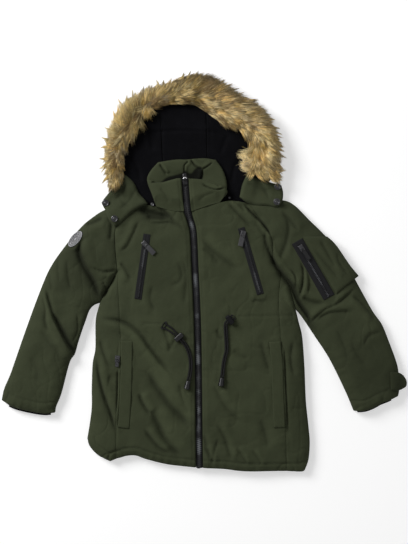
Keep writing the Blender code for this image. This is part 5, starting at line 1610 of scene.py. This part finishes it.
def fur():
    """Hair in tufts: closed three-sided strands that bend outwards and draw to their tuft's tip.

    A strand has a ring at its root r, a ring at its bent middle (r + e) / 2 + rise, and a point at
    its tip e. Roots are scattered about their tuft's middle.
    """
    fur_skin()
    rng = np.random.default_rng(7)
    chance = lambda count: rng.uniform(0, 1, count)
    for part in range(FUR_PIECES):
        low, high = part / FUR_PIECES, (part + 1) / FUR_PIECES
        tufts = TUFTS // FUR_PIECES
        t = low + (high - low) * (np.arange(tufts) + chance(tufts)) / tufts
        s = np.clip((rng.permutation(tufts) + chance(tufts)) / tufts, 0.02, 0.98)
        s = 0.03 + 0.83 * s * fur_narrow(t)
        lean, inner, outer, dark, light, past, fringe_across, fringe_lean, fringe_long = fur_at(t)
        lock_t, lock_s = rng.uniform(low, high, LOCKS), rng.uniform(0.0, 0.9, LOCKS)
        lock = np.hypot((t[:, None] - lock_t) * OPENING, (s[:, None] - lock_s) * 0.055).argmin(1)
        lean = lean + rng.normal(0, 0.32, LOCKS)[lock] + rng.normal(0, 0.12, tufts)
        reach = (inner + (outer - inner) * s) * MM * rng.uniform(0.75, 1.2, tufts) \
            * rng.uniform(0.88, 1.18, LOCKS)[lock]
        turn = held((s - 0.03) / 0.27)  # from the fringe to the outward hair
        across = fringe_across + (1.0 - fringe_across) * turn + rng.normal(0, 0.12, tufts)
        lean = fringe_lean + rng.normal(0, 0.2, tufts) * (1 - turn) + (lean - fringe_lean) * turn
        own_reach = fringe_long * rng.uniform(0.7, 1.25, tufts) * MM
        reach = own_reach + (reach - own_reach) * turn
        main = rng.choice(len(HAIR_TONES), LOCKS, p=(0.36, 0.26, 0.18, 0.08, 0.12))
        tone = rng.choice(len(HAIR_TONES), tufts, p=(0.28, 0.25, 0.22, 0.11, 0.14))
        tone = np.where(chance(tufts) < 0.45, main[lock], tone)
        tone = np.where(chance(tufts) < 0.24 * dark, BROWN, tone)
        tone = np.where(chance(tufts) < 0.5 * np.clip(light - 2.0, 0.0, 0.9), CREAM, tone)
        bright = light * rng.normal(1.0, 0.27, tufts) * rng.normal(1.0, 0.22, LOCKS)[lock]
        bright = np.clip(bright, 0.45, 3.6)
        tipped = chance(tufts) < dark * np.clip((s - 0.30) / 0.35, 0.12, 1.0)
        which = np.repeat(np.arange(tufts), HAIRS)
        count = len(which)
        width = fur_place(t, s)[3]
        outward = across / np.maximum(np.hypot(across, lean), 0.05)
        room = (1 - s) * width * 0.92 + (past + rng.uniform(-8.0, 2.0, tufts)) * MM
        reach = np.where(outward > 0.1, np.minimum(reach, np.maximum(room, 6 * MM)
                                                   / np.maximum(outward, 0.1)), reach)
        hair_t = t[which] + rng.normal(0, 4.2 * MM, count) / OPENING
        hair_s = np.clip(s[which] + rng.normal(0, 4.2 * MM, count) / width[which], 0.0, 0.93)
        hair_t = held(hair_t)
        root, out, run, width = fur_place(hair_t, hair_s)
        skin = np.interp(hair_s, *SKIN_TOP) * MM
        long = reach[which] * rng.uniform(0.8, 1.15, count)
        guard = chance(count) < GUARD_SHARE
        long = np.where(guard, long * 1.15, long)
        way = unit(across[which, None] * out
                   + (lean[which] + rng.normal(0, 0.09, count))[:, None] * run)
        rise = np.interp(hair_s, (0.0, 0.25, 0.5, 0.75, 0.93), (0.34, 0.26, 0.12, -0.06, -0.18))
        rise = rise + rng.normal(0, 0.08, count)
        tip = np.column_stack([root + way * (long * 0.93)[:, None], skin + long * rise])
        pull = np.where(guard, 0.05, 0.12 + 0.16 * turn[which])[:, None]
        tip = tip + pull * (shared_tips(which, tip, tufts, HAIRS)[which] - tip)
        tip[:, :2] = fur_limit(tip[:, :2], 7 * MM)
        tip[:, 2] = np.clip(tip[:, 2], 2.0 * MM, 49.0 * MM)
        base = np.column_stack([root, skin - 1.0 * MM])
        half = base + 0.5 * (tip - base)
        half[:, 2] += long * np.interp(hair_s, (0.0, 0.4, 0.93), (0.10, 0.16, 0.16))
        half[:, :2] += (rng.normal(0, 0.05, count) * long)[:, None] * run
        half[:, 2] = np.minimum(half[:, 2], FUR_HIGHEST)
        mesh_hairs(part, base, half, tip, rng.uniform(0.34, 0.62, count) * MM,
                   hair_colours(rng, which, tone, bright, tipped))


def shared_tips(which, tip, tufts, hairs):
    """Mean of the tips of each tuft, where they draw together."""
    return np.column_stack([np.bincount(which, tip[:, k], tufts) / hairs for k in range(3)])


def fur_spikes():
    """Pointed locks that stick out along the outline: long hair that draws to one sharp tip."""
    rng = np.random.default_rng(19)
    spikes, hairs = 150, 26
    t = (np.arange(spikes) + rng.uniform(0, 1, spikes)) / spikes
    s = rng.uniform(0.62, 0.86, spikes) * fur_narrow(t)
    lean, _, _, dark, light, past = fur_at(t)[:6]
    lean = lean * 0.8 + rng.normal(0, 0.35, spikes)
    reach = (rng.uniform(13, 33, spikes) + 0.3 * past) * MM
    tone = rng.choice(len(HAIR_TONES), spikes, p=(0.22, 0.30, 0.24, 0.16, 0.08))
    tipped = rng.uniform(0, 1, spikes) < np.clip(dark * 1.25, 0.2, 1.0)
    which = np.repeat(np.arange(spikes), hairs)
    count = len(which)
    width = fur_place(t, s)[3]
    hair_t = held(t[which] + rng.normal(0, 2.2 * MM, count) / OPENING)
    hair_s = np.clip(s[which] + rng.normal(0, 2.5 * MM, count) / width[which], 0.5, 0.93)
    root, out, run, _ = fur_place(hair_t, hair_s)
    skin = np.interp(hair_s, *SKIN_TOP) * MM
    way = unit(out + (lean[which] + rng.normal(0, 0.05, count))[:, None] * run)
    long = reach[which] * rng.uniform(0.72, 1.05, count)
    tip = np.column_stack([root + way * long[:, None], skin - 0.12 * long])
    tip += 0.80 * (shared_tips(which, tip, spikes, hairs)[which] - tip)
    tip[:, :2] += way * (rng.uniform(-0.18, 0.18, count) * long)[:, None]
    tip[:, :2] = fur_limit(tip[:, :2], 10 * MM)
    tip[:, 2] = np.clip(tip[:, 2], 3.0 * MM, 48.0 * MM)
    base = np.column_stack([root, skin])
    half = (base + tip) / 2
    half[:, 2] += long * 0.14
    mesh_hairs(FUR_PIECES, base, half, tip, rng.uniform(0.30, 0.50, count) * MM,
               hair_colours(rng, which, tone, light * rng.normal(1.0, 0.15, spikes), tipped))


def fur_limit(tips, most):
    """Tips brought back to within a distance of the fur's outer line."""
    outer = through(HOOD_ROWS[:, 2:], 120)
    gap, _ = nearest(outer, tips[:, 0], tips[:, 1])
    run = outer[1:] - outer[:-1]
    away = tips[:, None] - outer[None, :-1]
    share = held((away * run).sum(-1) / (run ** 2).sum(-1))
    spots = outer[None, :-1] + share[..., None] * run
    distance = np.linalg.norm(tips[:, None] - spots, axis=-1)
    pick = distance.argmin(1)
    spot = spots[np.arange(len(tips)), pick]
    normal = (tips - spot) / np.maximum(np.abs(gap), 1e-6)[:, None] * np.sign(gap)[:, None]
    return np.where((gap > most)[:, None], spot + normal * np.broadcast_to(most, len(gap))[:, None],
                    tips)


def hair_colours(rng, which, tone, bright, tipped):
    """Colour at each hair's root, middle and tip."""
    count = len(which)
    own = HAIR_TONES[tone[which]] * bright[which, None] * rng.normal(1.0, 0.12, count)[:, None]
    pale = np.clip(0.36 * (bright[which, None] - 1.2), 0.0, 0.36)
    own = own * (1 - pale) + pale * own.mean(1, keepdims=True) * np.array([1.32, 1.06, 0.64])
    stray = rng.uniform(0, 1, count) < 0.18
    own[stray] = HAIR_TONES[rng.choice(len(HAIR_TONES), int(stray.sum()))]
    deep = np.clip(1.0 - 0.55 * (bright[which, None] - 1.7), 0.25, 1.0)
    root = own * (1.0 - deep * np.array([0.16, 0.21, 0.30]))
    tip = own * 1.22 + 0.02
    dark = (tipped[which] & (rng.uniform(0, 1, count) < 0.8)) | (rng.uniform(0, 1, count) < 0.03)
    tip[dark] = DARK_TIP * rng.uniform(0.7, 2.2, int(dark.sum()))[:, None]
    middle = own.copy()
    middle[dark] *= 0.72
    colours = np.maximum(np.stack([root, middle, tip], axis=1), 0.0)
    return colours / np.maximum(colours.max(2, keepdims=True) / 0.97, 1.0)


def mesh_hairs(part, base, half, tip, radius, colours):
    """One mesh of closed strands: two rings of three points and a tip each, seven faces."""
    count = len(base)
    run = unit(half - base)
    level = np.cross(run, (0.0, 0.0, 1.0))
    level /= np.maximum(np.linalg.norm(level, axis=1), 1e-6)[:, None]
    rise = np.cross(level, run)
    points = np.empty((count, 7, 3))
    for k in range(3):
        turn = 2 * math.pi * k / 3 + math.pi / 2
        spoke = math.cos(turn) * level + math.sin(turn) * rise
        points[:, k] = base + spoke * radius[:, None]
        points[:, 3 + k] = half + spoke * (radius * 0.85)[:, None]
    points[:, 6] = tip
    first = (np.arange(count) * 7)[:, None]
    quads = np.concatenate([first + np.array([k, (k + 1) % 3, 3 + (k + 1) % 3, 3 + k])
                            for k in range(3)])
    threes = np.concatenate([first + np.array([3 + k, 3 + (k + 1) % 3, 6]) for k in range(3)]
                            + [first + np.array([2, 1, 0])])
    obj = piece(f"fur_hair_{part + 1}", points.reshape(-1, 3), [quads, threes], HAIR,
                replaces=("fur_trim",))
    shade = np.repeat(colours, (3, 3, 1), axis=1)
    tint(obj, np.concatenate([shade, np.ones((count, 7, 1))], axis=2))


fur()
fur_spikes()


# ---- zips

ZIP_ROWS = [
    # name, top x, top y, foot x, foot y, width, slider from the top
    ("chest_right", -125.5, 84, -146, -62, 16, 22), ("chest_left", 85.5, 98, 129, -51, 16, 14),
    ("sleeve", 211.0, 68.0, 283, -58, 27.5, 19),
]


def main_level(y):
    """Top of the long zip's band: it climbs from the coat's front on to the collar."""
    share = held((y - 118 * MM) / (25 * MM))
    return BAND_TOP + share * (COLLAR_BAND_TOP - BAND_TOP)


def ribbon(name, line, width, top, bottom, look, node_name, columns):
    """Strip along a line, with heights from functions of the place across and of y."""
    across = np.linspace(-1.0, 1.0, columns)
    grid = np.stack([beside(line, -share * width / 2) for share in across], axis=1)
    rows = grid.shape[0]
    flat = grid.reshape(-1, 2)
    share = np.broadcast_to(across, (rows, columns))
    upper = np.column_stack([flat, top(share, grid[..., 1]).reshape(-1)])
    lower = np.column_stack([flat, bottom(share, grid[..., 1]).reshape(-1)])
    quads, border = cells(rows, columns), rim(rows, columns)
    ahead = np.roll(border, -1)
    wall = np.column_stack([ahead, border, border + len(upper), ahead + len(upper)])
    faces = [quads, quads[:, ::-1] + len(upper), wall]
    if not turned_up(grid):
        faces = [block[:, ::-1] for block in faces]
    uv = np.stack(np.broadcast_arrays(across[None] * width / 2, passed_at(line)[:, None]), axis=-1)
    uv = np.tile(uv.reshape(-1, 2), (2, 1))
    return piece(name, np.vstack([upper, lower]), faces, look, uv, replaces=(node_name,))


def teeth(name, line, level, node_name, pitch, reach, long, high, look=TEETH):
    """Two rows of moulded teeth that mesh: narrow blocks, turned by the line, with domed tops.

    Each has eight points: a foot rectangle and a smaller top one.
    """
    spine = resample(line, int(lengths_of(line).sum() / pitch))
    run = headings(spine)
    side = np.where(np.arange(len(spine)) % 2 == 0, 1.0, -1.0)[:, None]
    normal = to_left(run) * side
    run3 = np.column_stack([run, np.zeros(len(run))])
    normal3 = np.column_stack([normal, np.zeros(len(run))])
    middle = np.column_stack([spine + normal * reach * 0.20, level(spine[:, 1])])
    points = []
    for lift, shrink in ((0.0, 1.0), (high, 0.62)):
        for a, b in ((-1, -1), (1, -1), (1, 1), (-1, 1)):
            points.append(middle + a * shrink * long / 2 * run3 + b * shrink * reach / 2 * normal3
                          + np.array([0.0, 0.0, lift]))
    points = np.stack(points, axis=1)
    first = (np.arange(len(spine)) * 8)[:, None]
    blocks = np.array([(3, 2, 1, 0), (4, 5, 6, 7), (0, 1, 5, 4), (1, 2, 6, 5), (2, 3, 7, 6),
                       (3, 0, 4, 7)])
    quads = (first[:, None] + blocks[None]).reshape(-1, 4)
    turned = np.repeat(side[:, 0] < 0, 6)
    quads[turned] = quads[turned][:, ::-1]
    return piece(name, points.reshape(-1, 3), [quads], look,
                 replaces=(node_name,), smooth=False)


def zips():
    """The long zip, whose band follows the front, and three pocket zips that lie on the coat."""
    spine = join(through(LINE_ROWS["collar_spine"][1], 30), through(LINE_ROWS["zip_line"][1], 260))
    bead = lambda share: 0.5 * MM * np.exp(-((np.abs(share) - 0.42) / 0.09) ** 2)
    ribbon("zip_main_tape", spine, BAND_WIDTH - 5 * GAP,
           lambda share, y: main_level(y) - 0.6 * MM + bead(share) + 0.1 * MM * np.abs(share),
           lambda share, y: main_level(y) - 2.0 * MM, TAPE, "zip_main_band", 13)
    teeth("zip_main_row", spine[8:], lambda y: main_level(y) - 0.1 * MM, "zip_main_teeth",
          2.2 * MM, 6.8 * MM, 1.9 * MM, 2.2 * MM)
    for name, x0, y0, x1, y1, width, slider in ZIP_ROWS:
        start, end = np.array([x0, y0]) * MM, np.array([x1, y1]) * MM
        line = resample(np.array([start, end]), 80)
        low = FULL + GAP
        ribbon(f"zip_{name}_tape", line, width * MM,
               lambda share, y: low + 0.75 * MM + 0.4 * MM * np.exp(-((np.abs(share) - 0.36) / 0.12) ** 2)
               - 0.5 * MM * (np.abs(share) > 0.98),
               lambda share, y: low + 0 * share, TAPE, f"zip_{name}_band", 17)
        run = (end - start) / np.linalg.norm(end - start)
        track = resample(np.array([start + run * (slider + 13) * MM, end - run * 4 * MM]), 60)
        teeth(f"zip_{name}_row", track, lambda y: low + 1.25 * MM + 0 * y, f"zip_{name}_teeth",
              1.9 * MM, 4.0 * MM, 1.5 * MM, 1.9 * MM, SMALL_TEETH)


zips()


# ---- snaps, buttons, cord ends, sliders

def lathe(name, centre, base, rows, look, node_name, axis=(0.0, 0.0, 1.0), sides=40):
    """Turned piece about an axis through its centre: rows give radius and height from the foot."""
    axis = Vector(axis).normalized()
    turned = axis.to_track_quat("Z", "Y")
    rows = np.array(rows, dtype=float) * MM
    turn = np.linspace(0, 2 * math.pi, sides, endpoint=False)
    rings = np.stack([np.stack([radius * np.cos(turn), radius * np.sin(turn),
                                np.full(sides, height)], axis=-1) for radius, height in rows])
    spin = np.array(turned.to_matrix())
    points = rings.reshape(-1, 3) @ spin.T + np.array([*centre, base])
    obj = piece(name, points, swept(len(rows), sides), look, replaces=(node_name,))
    obj.data.set_sharp_from_angle(angle=math.radians(35))
    return obj


def node_box(name):
    """Lowest and highest corner of a node, in metres."""
    low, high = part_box(name)
    return np.array(low), np.array(high)


SNAP_ROWS = [  # radius and height: a flat foot, a rolled rim, a dished ring and a domed middle
    (7.2, 0.0), (7.6, 0.5), (7.6, 1.3), (7.2, 2.0), (6.5, 2.3), (5.8, 2.1), (5.3, 1.4), (4.6, 1.1),
    (3.7, 1.3), (3.2, 2.0), (2.4, 2.5), (1.2, 2.6), (0.3, 2.6),
]


def hardware():
    """Snaps and buttons turned anew; sliders, pulls, locks, bells and eyelets keep their nodes."""
    for side in ("right", "left"):
        for level in ("upper", "lower"):
            name = f"snap_{side}_{level}"
            low, high = node_box(name)
            lathe(f"{name}_cap", (low + high)[:2] / 2, low[2], SNAP_ROWS, METAL, name)
        name = f"hood_button_{side}"
        low, high = node_box(name)
        radius, height = (high[0] - low[0]) / 2 / MM, (high[2] - low[2]) / MM
        rows = [(r * radius, h * height) for r, h in
                ((0.94, 0.0), (1.0, 0.2), (1.0, 0.5), (0.9, 0.8), (0.74, 0.95), (0.6, 0.86),
                 (0.5, 0.78), (0.34, 0.86), (0.12, 0.9))]
        lathe(f"{name}_cap", (low + high)[:2] / 2, low[2], rows, METAL, name)
    # polished clip round the neck of the main pull, sunk in the tab's shoulder and clear of the slider
    turn = np.radians(np.linspace(175, 5, 17))
    clip = np.column_stack([-40.45 + 3.6 * np.cos(turn), 206.9 + 3.3 * np.sin(turn),
                            38.6 - 0.4 * np.sin(turn)]) * MM
    tube("pull_main_clip", clip, (0.65 + 0.50 * np.sin(turn)) * MM, BRIGHT, 12,
         body="tab_main")
    looks = {"toggle_left": DULL, "slider_main": PLASTIC, "slider_": METAL, "toggle_": PLASTIC,
             "bell_end_": PLASTIC, "eyelet_": PLASTIC, "pull_chest": RUBBER, "pull_sleeve": PLASTIC,
             "pull_main": PLASTIC, "pull_pocket": METAL}
    for obj in bpy.data.objects:
        look = next((looks[start] for start in looks if obj.name.startswith(start)), None)
        if look and obj.type == "MESH" and obj.name != "pull_main_clip":
            for slot in obj.material_slots:
                slot.material = look


hardware()


# ---- stitches

def stitches(node_name, lines, pitch=3.4 * MM, long=2.5 * MM, thick=0.34 * MM):
    """Thread lying in its holes along lines on the cloth: a slim eight-sided bead for each stitch."""
    points, count = [], 0
    for line in lines:
        spots = resample(line, max(int(lengths_of(line).sum() / pitch), 2))
        run = headings(spots)
        z = coat(spots[:, 0], spots[:, 1])
        slope = np.gradient(z) / np.maximum(
            np.linalg.norm(np.gradient(spots, axis=0), axis=1), 1e-6)
        along = unit(np.column_stack([run, slope]))
        side = np.column_stack([to_left(run), np.zeros(len(run))])
        up = np.cross(along, side)
        middle = np.column_stack([spots, z + 0.12 * MM])
        half = long / 2
        points.append(np.stack([
            middle - along * half - up * thick * 0.6, middle - side * thick, middle + up * thick,
            middle + side * thick, middle - up * thick, middle + along * half - up * thick * 0.6,
        ], axis=1))
        count += len(spots)
    points = np.concatenate(points)
    first = (np.arange(count) * 6)[:, None, None]
    faces = np.array([(0, 2, 1), (0, 3, 2), (0, 4, 3), (0, 1, 4), (5, 1, 2), (5, 2, 3), (5, 3, 4),
                      (5, 4, 1)])
    piece(f"stitching_{node_name}", points.reshape(-1, 3), [(first + faces).reshape(-1, 3)], THREAD,
          replaces=(node_name,), smooth=False)


def sewn():
    """Rows of stitches in the channels of the hem, cuffs, waist and zip."""
    channel_line = lambda name, distance: beside(through(LINE_ROWS[name][1], 120), distance * MM)
    rows = {
        "front_{}": lambda side, sign: [
            channel_line(f"hem_{side}", 19.0), beside(LINE[f"zip_{side}"], sign * 6.5 * MM)[2:-2],
            LINE[f"waist_{side}"]],
        "side_front_{}": lambda side, sign: [beside(LINE[f"princess_{side}"], sign * 5.0 * MM)[3:-8]],
        "sleeve_{}_upper": lambda side, sign: [channel_line(f"cuff_{side}", -sign * 24.0)[4:-5]],
    }
    for name, lines in rows.items():
        for side, sign in (("right", -1), ("left", 1)):
            stitches(name.format(side), lines(side, sign))


sewn()


# ---- box corners as plain lists

def corners(box):
    """A box's two corners as plain lists."""
    return [[round(float(value), 5) for value in corner] for corner in box]
